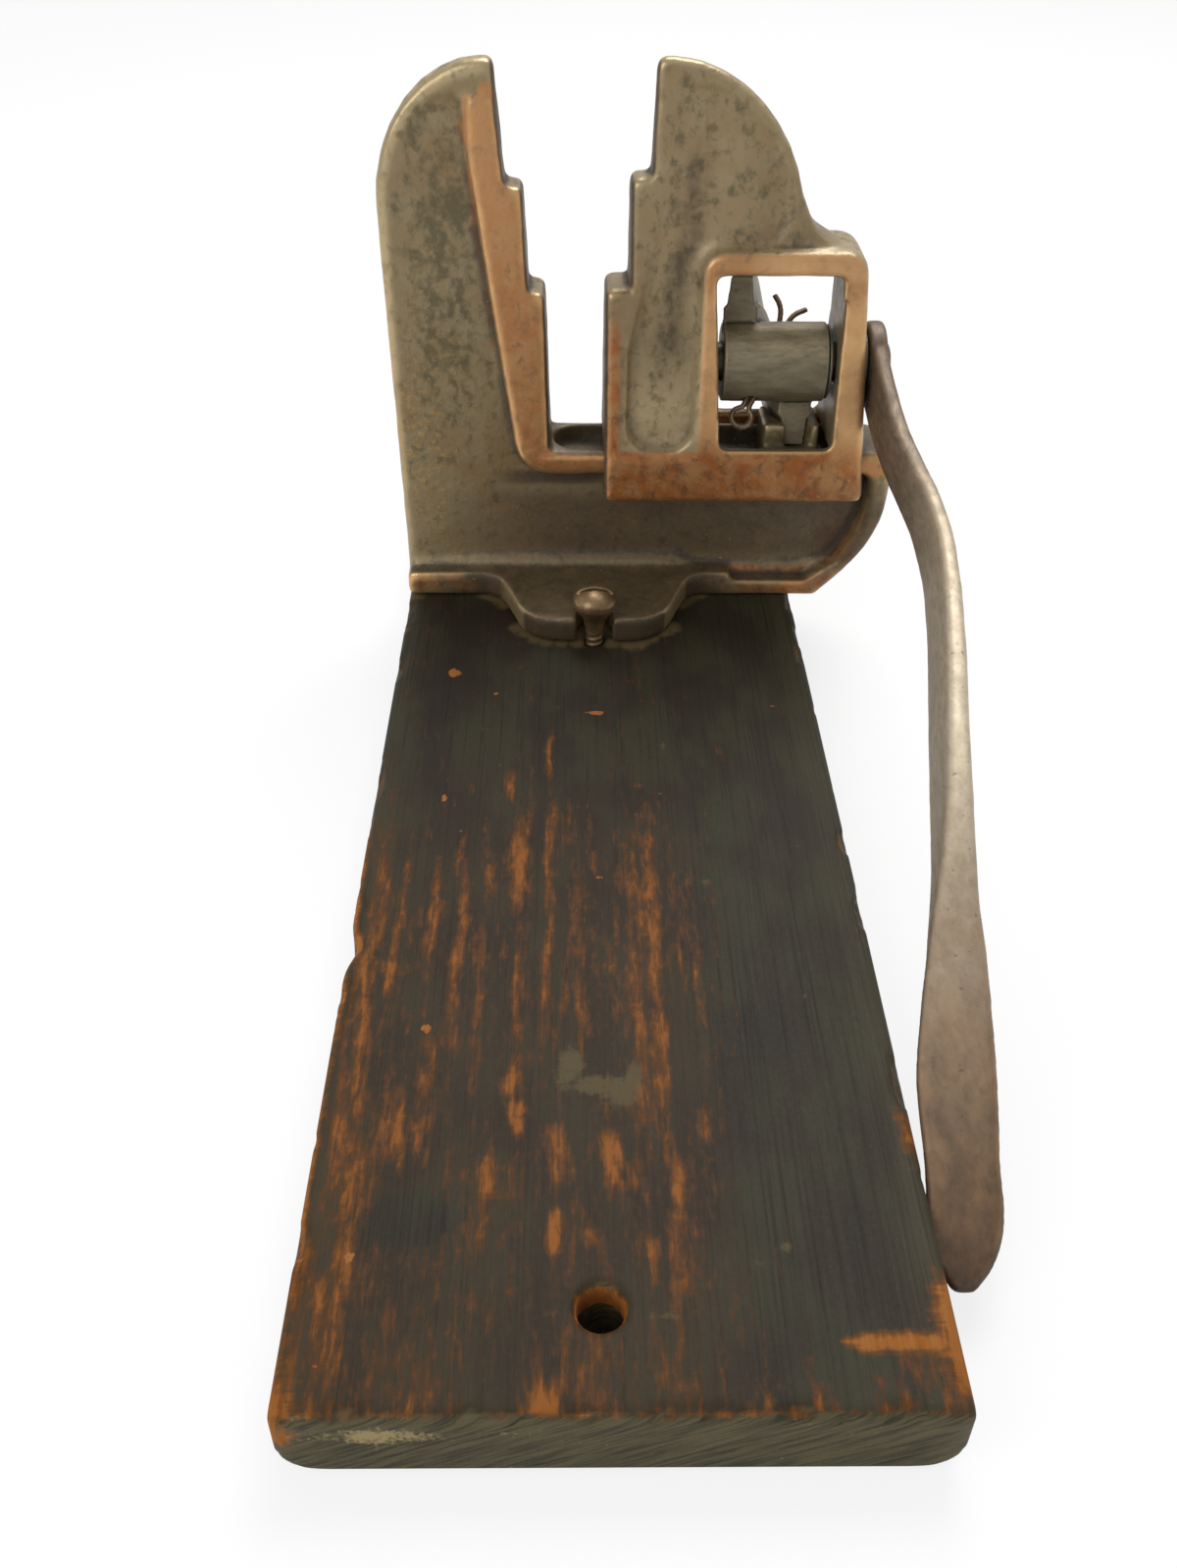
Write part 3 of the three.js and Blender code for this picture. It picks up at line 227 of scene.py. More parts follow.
def blobs(points, marks, corners=2):
    """Soft spots at marks on the board's top, squarer at their ends with corners above 2."""
    x, y, _ = points.T
    bend = SLOW_BEND * np.sin(y / SLOW_BEND_LENGTH) + QUICK_BEND * np.sin(y / QUICK_BEND_LENGTH + x)
    total = np.zeros(len(points))
    for across, along, half_width, half_length, strength in marks:
        sideways = np.abs(x + bend * min(1, half_width / 2) - across) / half_width
        lengthways = np.abs(y - along) / half_length
        total = np.maximum(total, strength * np.exp(-(sideways ** 2 + lengthways ** corners) ** SPOT_EDGE))
    return total


def stepped(steps, heights):
    """The X of a jaw's stepped faces at each height."""
    result = np.full(len(heights), steps[0][2], dtype=float)
    for low, high, start, end in steps:
        inside = heights >= low
        share = np.clip((heights - low) / (high - low), 0, 1)
        result[inside] = (start + (end - start) * share)[inside]
    return result


# Fine surfaces

class Skin:
    """A mesh's points in millimetres, with what its looks need to know of its shape."""

    def __init__(self, mesh):
        self.mesh = mesh
        count = len(mesh.vertices)
        flat = np.empty(count * 3)
        mesh.vertices.foreach_get("co", flat)
        self.points = flat.reshape(-1, 3) / MM
        ends = np.empty(len(mesh.edges) * 2, dtype=np.int64)
        mesh.edges.foreach_get("vertices", ends)
        pairs = ends.reshape(-1, 2)
        self.near = np.concatenate([pairs[:, 0], pairs[:, 1]])
        self.far = np.concatenate([pairs[:, 1], pairs[:, 0]])
        self.links = np.bincount(self.near, minlength=count).clip(1)

    def averaged(self, values):
        """Each point's mean over the points that its edges lead to."""
        if values.ndim == 1:
            return np.bincount(self.near, values[self.far], len(self.links)) / self.links
        return np.stack([self.averaged(values[:, axis]) for axis in range(values.shape[1])], axis=1)

    def smoothed(self, values, rounds, share=0.5):
        for _ in range(rounds):
            values = values + share * (self.averaged(values) - values)
        return values

    def write(self):
        self.mesh.vertices.foreach_set("co", (self.points * MM).ravel())
        self.mesh.update()

    def normals(self):
        self.write()
        flat = np.empty(len(self.links) * 3)
        self.mesh.vertex_normals.foreach_get("vector", flat)
        return flat.reshape(-1, 3)

    def bulge(self, rounds):
        """How far each point stands out (above 0) or lies in (below 0) of its smoothed neighbourhood."""
        return ((self.points - self.smoothed(self.points, rounds)) * self.normals()).sum(axis=1)

    def waved(self, depth, size, seed):
        """Moves the points in and out along their normals, as a hand-finished surface waves."""
        wave = depth * cloud(self.points, (size,) * 3, octaves=3, seed=seed)
        self.points = self.points + self.normals() * wave[:, None]

    def note(self, name, values):
        """Keeps a value for each point, for the material to read under its name."""
        layer = self.mesh.attributes.new(name, "FLOAT", "POINT")
        layer.data.foreach_set("value", np.asarray(values, dtype=np.float32))


def fine_copy(node, body, voxel, rounds):
    """A finer copy of a CAD node that replaces it, with its sharp corners rounded over."""
    piece = bpy.data.objects.new(node + "_skin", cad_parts[node].data.copy())
    bpy.context.scene.collection.objects.link(piece)
    modifier = piece.modifiers.new("fine", "REMESH")
    modifier.mode = "VOXEL"
    modifier.voxel_size = voxel * MM
    graph = bpy.context.evaluated_depsgraph_get()
    mesh = bpy.data.meshes.new_from_object(piece.evaluated_get(graph))
    piece.modifiers.clear()
    piece.data = mesh
    mesh.materials.clear()
    mesh.shade_smooth()
    skin = Skin(mesh)
    skin.points = skin.smoothed(skin.points, rounds)
    skin.write()
    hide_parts(node)
    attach(piece, body)
    return piece, skin


# Materials

class Paint:
    """A small helper that builds a material's nodes."""

    def __init__(self, name):
        self.material = bpy.data.materials.new(name)
        self.material.use_nodes = True
        self.tree = self.material.node_tree
        self.shader = self.tree.nodes["Principled BSDF"]
        self.place = self.tree.nodes.new("ShaderNodeTexCoord").outputs["Object"]

    def node(self, kind, **settings):
        made = self.tree.nodes.new("ShaderNode" + kind)
        for key, value in settings.items():
            setattr(made, key, value)
        return made

    def put(self, socket, value):
        if isinstance(value, bpy.types.NodeSocket):
            self.tree.links.new(value, socket)
        else:
            socket.default_value = value

    def stretched(self, size, turn, shift):
        """Places measured in units of size millimetres along turned axes, shifted by that many units."""
        sizes = [length * MM for length in (size if isinstance(size, tuple) else (size,) * 3)]
        made = self.node("Mapping", vector_type="TEXTURE")
        self.put(made.inputs["Vector"], self.place)
        made.inputs["Scale"].default_value = sizes
        made.inputs["Rotation"].default_value = turn
        made.inputs["Location"].default_value = [share * length for share, length in zip(shift, sizes)]
        return made.outputs[0]

    def noise(self, size, detail=4, roughness=0.55, distortion=0.0, shift=(0, 0, 0), turn=(0, 0, 0)):
        """Noise from 0 to 1 whose bumps are size millimetres across, along X, Y and Z."""
        made = self.node("TexNoise")
        self.put(made.inputs["Vector"], self.stretched(size, turn, shift))
        made.inputs["Scale"].default_value = 1
        made.inputs["Detail"].default_value = detail
        made.inputs["Roughness"].default_value = roughness
        made.inputs["Distortion"].default_value = distortion
        return made.outputs["Fac"]

    def noted(self, name):
        return self.node("Attribute", attribute_name=name).outputs["Fac"]

    def worked(self, operation, first, second):
        made = self.node("Math", operation=operation)
        self.put(made.inputs[0], first)
        self.put(made.inputs[1], second)
        return made.outputs[0]

    def add(self, *values):
        total = values[0]
        for value in values[1:]:
            total = self.worked("ADD", total, value)
        return total

    def times(self, *values):
        total = values[0]
        for value in values[1:]:
            total = self.worked("MULTIPLY", total, value)
        return total

    def step(self, value, low, high, bottom=0.0, top=1.0):
        """The bottom value up to low, the top value from high on, smooth between."""
        made = self.node("MapRange", interpolation_type="SMOOTHSTEP")
        self.put(made.inputs["Value"], value)
        made.inputs["From Min"].default_value = low
        made.inputs["From Max"].default_value = high
        made.inputs["To Min"].default_value = bottom
        made.inputs["To Max"].default_value = top
        return made.outputs[0]

    def mix(self, share, first, second):
        """The first colour where the share is 0 and the second where it is 1."""
        made = self.node("Mix", data_type="RGBA")
        self.put(made.inputs["Factor"], share)
        colour_sockets = made.inputs[6], made.inputs[7]
        for socket, value in zip(colour_sockets, (first, second)):
            self.put(socket, value if isinstance(value, bpy.types.NodeSocket) else colour(value))
        return made.outputs[2]

    def bump(self, height, strength, distance):
        made = self.node("Bump")
        made.inputs["Strength"].default_value = strength
        made.inputs["Distance"].default_value = distance * MM
        self.put(made.inputs["Height"], height)
        return made.outputs[0]

    def finish(self, base, roughness, metallic, normal, specular=0.5):
        self.put(self.shader.inputs["Base Color"], base)
        self.put(self.shader.inputs["Roughness"], roughness)
        self.put(self.shader.inputs["Metallic"], metallic)
        self.put(self.shader.inputs["Normal"], normal)
        self.shader.inputs["Specular IOR Level"].default_value = specular
        return self.material


def colour(code):
    """A colour written as on screen, 0 to 255, made ready for a shader."""
    shares = [value / 255 for value in code]
    return tuple(s / 12.92 if s <= 0.04045 else ((s + 0.055) / 1.055) ** 2.4 for s in shares) + (1.0,)


# OLIVE_LIGHT and COPPER_PALE colour both worn edges and painted highlights
OLIVE = (136, 118, 84)
OLIVE_DARK = (84, 76, 50)
OLIVE_BROWN = (130, 107, 73)
OLIVE_GREY = (140, 126, 97)
OLIVE_LIGHT = (178, 158, 120)
COPPER = (162, 116, 72)
COPPER_ORANGE = (150, 88, 41)
COPPER_PALE = (216, 172, 120)
COPPER_DARK = (98, 70, 48)
SHADE_BROWN = (57, 43, 27)
HOLLOW_GRIME_AND_SHADE = (48, 42, 32)
GOLD_DUST = (170, 134, 78)


def casting_paint(name):
    """A worn bronzed casting: olive fields, coppery rubbed parts, edges a little brighter, grime and painted
    shade in hollows, painted shade from the dark note, and painted highlights.
    """
    paint = Paint(name)
    broad = paint.noise(34, detail=3, roughness=0.5)
    blotch = paint.noise(9, detail=5, roughness=0.6, distortion=0.4, shift=(3, 1, 2))
    patch = paint.noise((4, 4, 5), detail=5, roughness=0.62, distortion=0.25, shift=(1, 4, 6))
    speck = paint.noise(2.0, roughness=0.6, shift=(7, 2, 5))
    fine = paint.noise(0.6, detail=3, roughness=0.6, shift=(1, 8, 3))
    rubbed = paint.noted("rubbed")
    pale_mark_and_highlight = paint.noted("pale_mark_and_highlight")
    dark = paint.noted("dark")

    field = paint.mix(paint.step(broad, 0.35, 0.65), OLIVE, OLIVE_BROWN)
    field = paint.mix(paint.step(blotch, 0.4, 0.7, top=0.6), field, OLIVE_GREY)
    # Painted highlights lighten the olive field here
    field = paint.mix(paint.times(pale_mark_and_highlight, 0.8), field, OLIVE_LIGHT)
    spots = paint.add(patch, paint.times(speck, 0.25), paint.times(paint.noted("mottle"), 0.14))
    field = paint.mix(paint.step(spots, 0.62, 0.88, top=0.8), field, OLIVE_DARK)

    metal = paint.mix(paint.step(blotch, 0.36, 0.62), COPPER, COPPER_ORANGE)
    tarnish = paint.add(patch, paint.times(speck, 0.4))
    metal = paint.mix(paint.step(tarnish, 0.7, 0.88, top=0.7), metal, COPPER_DARK)
    # Painted highlights lighten the copper here
    lit = paint.times(pale_mark_and_highlight, paint.step(blotch, 0.2, 0.7, bottom=0.5, top=0.95))
    metal = paint.mix(lit, metal, COPPER_PALE)

    uneven = paint.times(paint.add(blotch, paint.times(speck, 0.5), -0.75), 0.7)
    skin = paint.mix(paint.step(paint.add(rubbed, uneven), 0.22, 0.72), field, metal)
    patchy = paint.times(paint.add(speck, blotch, -1.0), 0.6)
    worn = paint.step(paint.add(paint.noted("edge"), patchy, paint.times(dark, -0.5)), 0.3, 1.2, top=0.8)
    skin = paint.mix(worn, skin, paint.mix(rubbed, OLIVE_LIGHT, COPPER_PALE))
    # Painted shade: the dark note darkens faces towards a deep brown
    shaded = paint.step(paint.add(dark, paint.times(uneven, 0.7)), 0.05, 1.0, top=0.92)
    skin = paint.mix(shaded, skin, SHADE_BROWN)
    # Grime and painted shade in the hollows
    grimy_and_shaded = paint.step(paint.add(paint.noted("hollow"), uneven), 0.2, 1.0, top=0.8)
    skin = paint.mix(grimy_and_shaded, skin, HOLLOW_GRIME_AND_SHADE)
    gilt = paint.add(speck, paint.times(fine, 0.4), paint.times(paint.noted("gilt"), 0.14))
    skin = paint.mix(paint.step(gilt, 0.86, 0.98, top=0.65), skin, GOLD_DUST)

    dull = paint.times(paint.add(grimy_and_shaded, shaded), 0.2)
    rough = paint.add(0.3, paint.times(speck, 0.14), dull, paint.times(worn, -0.1))
    shine = paint.add(worn, paint.times(rubbed, 0.5), paint.times(shaded, -0.5))
    metallic = paint.step(shine, -0.5, 1.2, bottom=0.15, top=0.8)
    height = paint.add(paint.times(blotch, 0.7), paint.times(patch, 0.5), speck, paint.times(fine, 0.3))
    return paint.finish(skin, rough, metallic, paint.bump(height, 0.34, 0.45))


# The tone of the lever's painted highlights
HIGHLIGHT_TONE = (212, 198, 172)
LIT_EDGE_STEP = 45


def plain_metal(name, light, dark, deep, roughness, metallic, streak=(6, 6, 6), side=0.0):
    """A handled metal in two tones with stains; side is how much painted shade darkens faces that don't look
    up.
    """
    paint = Paint(name)
    broad = paint.noise(streak)
    small_streak = tuple(length * 0.3 for length in streak)
    blotch = paint.noise(small_streak, detail=5, roughness=0.62, distortion=0.3, shift=(4, 2, 6))
    speck = paint.noise(1.1, detail=3, roughness=0.6, shift=(2, 2, 9))
    skin = paint.mix(paint.step(paint.add(broad, paint.times(blotch, 0.4)), 0.5, 0.9), light, dark)
    skin = paint.mix(paint.step(blotch, 0.6, 0.75, top=0.55), skin, deep)
    lit_edge = paint.step(paint.add(paint.noted("edge"), paint.times(speck, 0.3)), 0.55, 1.2, top=0.4)
    skin = paint.mix(lit_edge, skin, tuple(min(255, tone + LIT_EDGE_STEP) for tone in light))
    if side:
        # Painted shade on faces that don't look up
        side_shade = paint.worked("SUBTRACT", side, paint.times(paint.noted("up"), side))
        skin = paint.mix(side_shade, skin, deep)
        # Painted highlights where the shine note is high, broken up by the blotches
        highlight_breakup = paint.step(paint.add(blotch, paint.times(speck, 0.3)), 0.45, 0.85, bottom=1.0, top=0.7)
        skin = paint.mix(paint.times(paint.noted("shine"), highlight_breakup), skin, HIGHLIGHT_TONE)
    # Grime and painted shade in hollows, and painted shade towards the ends of the lever
    grimy_and_shaded = paint.step(paint.add(paint.noted("grime_and_shade"), paint.times(blotch, 0.4)), 0.4, 0.95, top=0.85)
    skin = paint.mix(grimy_and_shaded, skin, tuple(tone * 0.6 for tone in deep))
    pits = paint.step(paint.noise(1.6, detail=2, roughness=0.5, shift=(5, 8, 2)), 0.66, 0.76)
    skin = paint.mix(paint.times(pits, 0.45), skin, deep)
    rough = paint.add(roughness - 0.08, paint.times(blotch, 0.2), paint.times(pits, 0.1))
    height = paint.add(blotch, paint.times(speck, 0.5), paint.times(pits, -1.0))
    return paint.finish(skin, rough, metallic, paint.bump(height, 0.2, 0.2))


STAIN = (38, 32, 24)
STAIN_GREEN = (47, 44, 30)
STAIN_DEEP = (24, 21, 17)
STAIN_SHEEN = (68, 63, 46)
STAIN_BROWN = (58, 42, 25)
WORN_BROWN = (72, 46, 22)
WORN_RED = (98, 58, 18)
WORN_ORANGE = (132, 78, 27)
WORN_TAN = (144, 92, 44)
PALE_MARK = (82, 70, 45)
DUST = (100, 84, 54)
END_GRAIN = (88, 80, 56)
END_DARK = (52, 50, 36)
END_PALE = (146, 128, 88)


def stained(paint, lines, dashes):
    """The stain: brown and green by turns, deeper along the grain, brown where it is handled, with a painted
    sheen near the sides.
    """
    mottle = paint.noise((20, 40, 20), shift=(5, 5, 5))
    top = paint.mix(paint.step(mottle, 0.38, 0.62), STAIN, STAIN_GREEN)
    top = paint.mix(paint.step(lines, 0.5, 0.72, top=0.6), top, STAIN_DEEP)
    top = paint.mix(paint.step(dashes, 0.58, 0.74, top=0.5), top, STAIN_DEEP)
    painted_sheen = paint.times(paint.noted("painted_sheen"), paint.step(lines, 0.3, 0.7, bottom=0.85, top=0.4))
    top = paint.mix(painted_sheen, top, STAIN_SHEEN)
    return paint.mix(paint.step(paint.noted("worn"), 0.0, 1.2, top=0.35), top, STAIN_BROWN)


def board_paint():
    """Near-black stained softwood, the stain worn through to brown and orange along the grain."""
    paint = Paint("stained_wood")
    lines = paint.noise((0.8, 60, 8), roughness=0.6, shift=(2, 5, 1))
    strips = paint.noise((3.0, 34, 10), detail=5, roughness=0.62, distortion=0.35, shift=(6, 1, 4))
    dashes = paint.noise((1.9, 6, 6), roughness=0.6, distortion=0.4, shift=(1, 3, 8))
    patches = paint.noise((12, 22, 14), detail=3, roughness=0.5, distortion=0.2, shift=(3, 3, 3))
    speck = paint.noise(1.1, detail=3, roughness=0.6, shift=(9, 1, 3))
    cross = paint.noise((9, 1.6, 6), roughness=0.6, distortion=0.3, shift=(8, 4, 1))
    saw = paint.noise((16, 4, 0.9), roughness=0.6, distortion=0.3, shift=(2, 2, 7), turn=(0, -0.5, 0))
    bare = paint.noted("bare")
    pale_mark_and_highlight = paint.noted("pale_mark_and_highlight")

    top = stained(paint, lines, dashes)
    uneven = paint.add(
        strips, paint.times(lines, 0.36), dashes, paint.times(patches, 0.45), paint.times(cross, 0.2), -1.505
    )
    thin = paint.add(uneven, paint.times(paint.noted("worn"), 0.15), paint.times(paint.noted("streak"), 0.46))
    for start, full, tone in ((0.13, 0.4, WORN_BROWN), (0.3, 0.58, WORN_RED), (0.46, 0.74, WORN_ORANGE)):
        top = paint.mix(paint.step(thin, start, full, top=0.85), top, tone)

    fibre = paint.add(strips, paint.times(lines, 0.5), paint.times(speck, 0.25))
    bare_tone = paint.mix(paint.step(fibre, 0.72, 1.05), WORN_ORANGE, WORN_TAN)
    ragged = paint.times(paint.add(dashes, speck, paint.times(cross, 0.6), -1.3), 0.7)
    flakes = paint.step(paint.add(paint.noted("chip"), ragged), 0.4, 0.56)
    top = paint.mix(flakes, top, bare_tone)
    torn = paint.add(bare, paint.times(paint.add(dashes, strips, cross, -1.5), 0.7))
    raw = paint.step(torn, 0.48, 0.8)
    top = paint.mix(paint.step(torn, 0.2, 0.6, top=0.9), top, WORN_RED)
    top = paint.mix(raw, top, bare_tone)
    smeared = paint.add(pale_mark_and_highlight, paint.times(paint.add(speck, cross, dashes, -1.5), 1.1))
    top = paint.mix(paint.step(smeared, 0.25, 0.95, top=0.85), top, PALE_MARK)
    settled = paint.add(paint.noted("dust"), paint.times(paint.add(speck, patches, -1.0), 0.7))
    top = paint.mix(paint.step(settled, 0.3, 1.0, top=0.8), top, DUST)

    front = paint.mix(paint.step(saw, 0.38, 0.66), END_GRAIN, END_DARK)
    scuffed = paint.add(pale_mark_and_highlight, paint.times(paint.add(cross, speck, -1.0), 1.8))
    front = paint.mix(paint.step(scuffed, 0.35, 0.95), front, END_PALE)
    front = paint.mix(raw, front, bare_tone)

    skin = paint.mix(paint.noted("end"), top, front)
    rough = paint.add(0.42, paint.times(speck, 0.2), paint.times(raw, 0.25), paint.times(lines, 0.12))
    height = paint.add(
        paint.times(lines, 1.1), paint.times(dashes, 0.4), paint.times(flakes, -0.8), paint.times(raw, -0.5),
        paint.times(speck, 0.3), paint.times(thin, -0.3),
    )
    return paint.finish(skin, rough, 0.0, paint.bump(height, 0.4, 0.5), specular=0.16)


# Board

def edge_distance(inwards, down):
    """How far points are from an edge of the board's top that lies this far away, sideways and up."""
    return np.hypot(np.clip(inwards, 0, None), np.clip(down, 0, None))


def settled_dust(points):
    """1 where the board meets the casting, falling away over a few millimetres."""
    casting = Skin(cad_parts["frame_casting"].data)
    low = casting.points[casting.points[:, 2] < BOARD_TOP + 2]
    tree = kdtree.KDTree(len(low))
    for index, point in enumerate(low):
        tree.insert(Vector(point), index)
    tree.balance()
    near = np.full(len(points), FAR_AWAY)
    for index in np.flatnonzero((points[:, 1] > CASTING_START) & (points[:, 2] > BOARD_TOP - 2)):
        near[index] = tree.find(Vector(points[index]))[2]
    reach = (4 + 3 * cloud(points, (14, 14, 14), octaves=2, seed=11)).clip(1.5)
    return np.exp(-(near / reach) ** 2)


def wood_skin():
    piece, skin = fine_copy("base_board", "frame", voxel=1.2, rounds=1)
    points = skin.points
    x, y, z = points.T
    half = BOARD_WIDTH / 2
    side = half - np.abs(x)
    front = y + BOARD_LENGTH / 2
    back = BOARD_LENGTH / 2 - y
    down = BOARD_TOP - z
    to_side = edge_distance(side, down)
    to_front = edge_distance(front, down)
    on_top = z > BOARD_TOP - 3

    end_breaks = ramp(cloud(points, (8, 7, 7), octaves=3, seed=2), 0.0, 0.5)
    side_breaks = ramp(cloud(points, (9, 18, 9), octaves=3, seed=1), 0.16, 0.6)
    side_chip = side_breaks * fall(to_side, 0, SIDE_CHIP_REACH)
    front_chip = end_breaks * fall(to_front, 0, END_CHIP_REACH)
    back_chip = end_breaks * fall(edge_distance(back, down), 0, END_CHIP_REACH)
    depth = SIDE_CHIP_DEPTH * side_chip + FRONT_CHIP_DEPTH * front_chip + BACK_CHIP_DEPTH * back_chip
    notch = np.exp(-((y - NOTCH_PLACE) / NOTCH_REACH) ** 2) * fall(x, -half, 6 - half) * ramp(z, 6, 18)
    waves = 0.25 * cloud(points, (14, 120, 16), octaves=2, seed=3) - 0.3
    skin.points = points - skin.normals() * depth[:, None]
    skin.points[:, 0] += NOTCH_DEPTH * notch
    skin.points[:, 2] += np.where(on_top, waves, 0)
    skin.write()

    near_front = np.exp(-(np.clip(front, 0, None) / TONGUE_REACH) ** 2)
    tongues = ramp(cloud(points, (5, 30, 8), octaves=2, seed=7), 0.0, 0.4) * near_front
    skin.note("streak", np.maximum(blobs(points, STREAKS, corners=4), 1.1 * tongues) * on_top)
    skin.note("chip", blobs(points, CHIPS) * on_top)
    calm = ramp(x, *CALM_START)
    handled = fall(y, -70, 60) * (1 - calm)
    left_front = np.exp(-((x - LEFT_WEAR[0]) / LEFT_WEAR[1]) ** 2) * fall(y, -140, -60)
    knot = mound(x, y, *KNOT)
    skin.note("worn", np.clip(handled - 0.7 * calm + 0.8 * left_front - 3 * knot, -3, 1.5))

    near_top = fall(down, 5, 13)
    gouge_half_width = 0.7 + 1.9 * ramp(x, *GOUGE_TAPER)
    from_hole = np.hypot(x - BENCH_HOLE[0], y - BENCH_HOLE[1]) - BENCH_HOLE_RADIUS
    bare_places = [
        0.55 * np.maximum.reduce([side_chip, front_chip, back_chip]),
        notch * fall(down, 3, 8),
        0.4 * fall(to_side, 0.2, 1.6),
        0.5 * fall(to_front, 0.4, 2.6),
        0.6 * fall(x, 0.5 - half, 3.5 - half) * fall(y, -60, 60) * fall(down, 1, 6),
        1.2 * near_top * mound(x, y, *RIGHT_CORNER, corners=(2, 4)),
        0.7 * near_top * mound(x, y, *RIGHT_CHIP),
        0.9 * mound(x, y, GOUGE_MIDDLE, (GOUGE_HALF_LENGTH, gouge_half_width), corners=(8, 2)),
        0.9 * fall(down, 8, 16) * mound(x, y, *LEFT_CORNER),
        0.8 * np.exp(-(np.clip(from_hole, 0, None) / HOLE_RIM_REACH) ** 2) * (z > BOARD_TOP - 7),
    ]
    skin.note("bare", np.clip(np.maximum.reduce(bare_places), 0, 1.1))
    skin.note("dust", settled_dust(points))
    end_mark = 1.2 * mound(x, z, *END_MARK) * (front < 2)
    skin.note("pale_mark_and_highlight", np.clip(np.maximum(blobs(points, PALE_MARKS) * on_top, end_mark), 0, 1))
    skin.note("end", ramp(-skin.normals()[:, 1], *FACES_ONE_WAY))
    # Painted sheen near the board's sides, a little on the calm right part and towards the front
    skin.note("painted_sheen", 0.6 * fall(side, 0, 14) + 0.15 * calm + 0.1 * fall(y, -180, -90))
    piece.data.materials.append(board_paint())


# Castings

def note_casting(skin, rubbed, pale_mark_and_highlight, dark, mottle, gilt):
    fine = skin.bulge(FINE_ROUNDS)
    wide = skin.bulge(WIDE_ROUNDS)
    skin.note("edge", np.clip(fine / EDGE_BULGE, 0, 1.5))
    # How deep each point lies in a hollow, for grime and painted shade there
    skin.note("hollow", np.clip(-wide / HOLLOW_BULGE, 0, 0.8) + np.clip(-fine / NOOK_BULGE, 0, 0.4))
    skin.note("rubbed", np.clip(rubbed, 0, 1))
    # Painted highlights
    skin.note("pale_mark_and_highlight", np.clip(pale_mark_and_highlight, 0, 1))
    # Painted shade
    skin.note("dark", np.clip(dark, 0, 1))
    skin.note("mottle", mottle)
    skin.note("gilt", gilt)


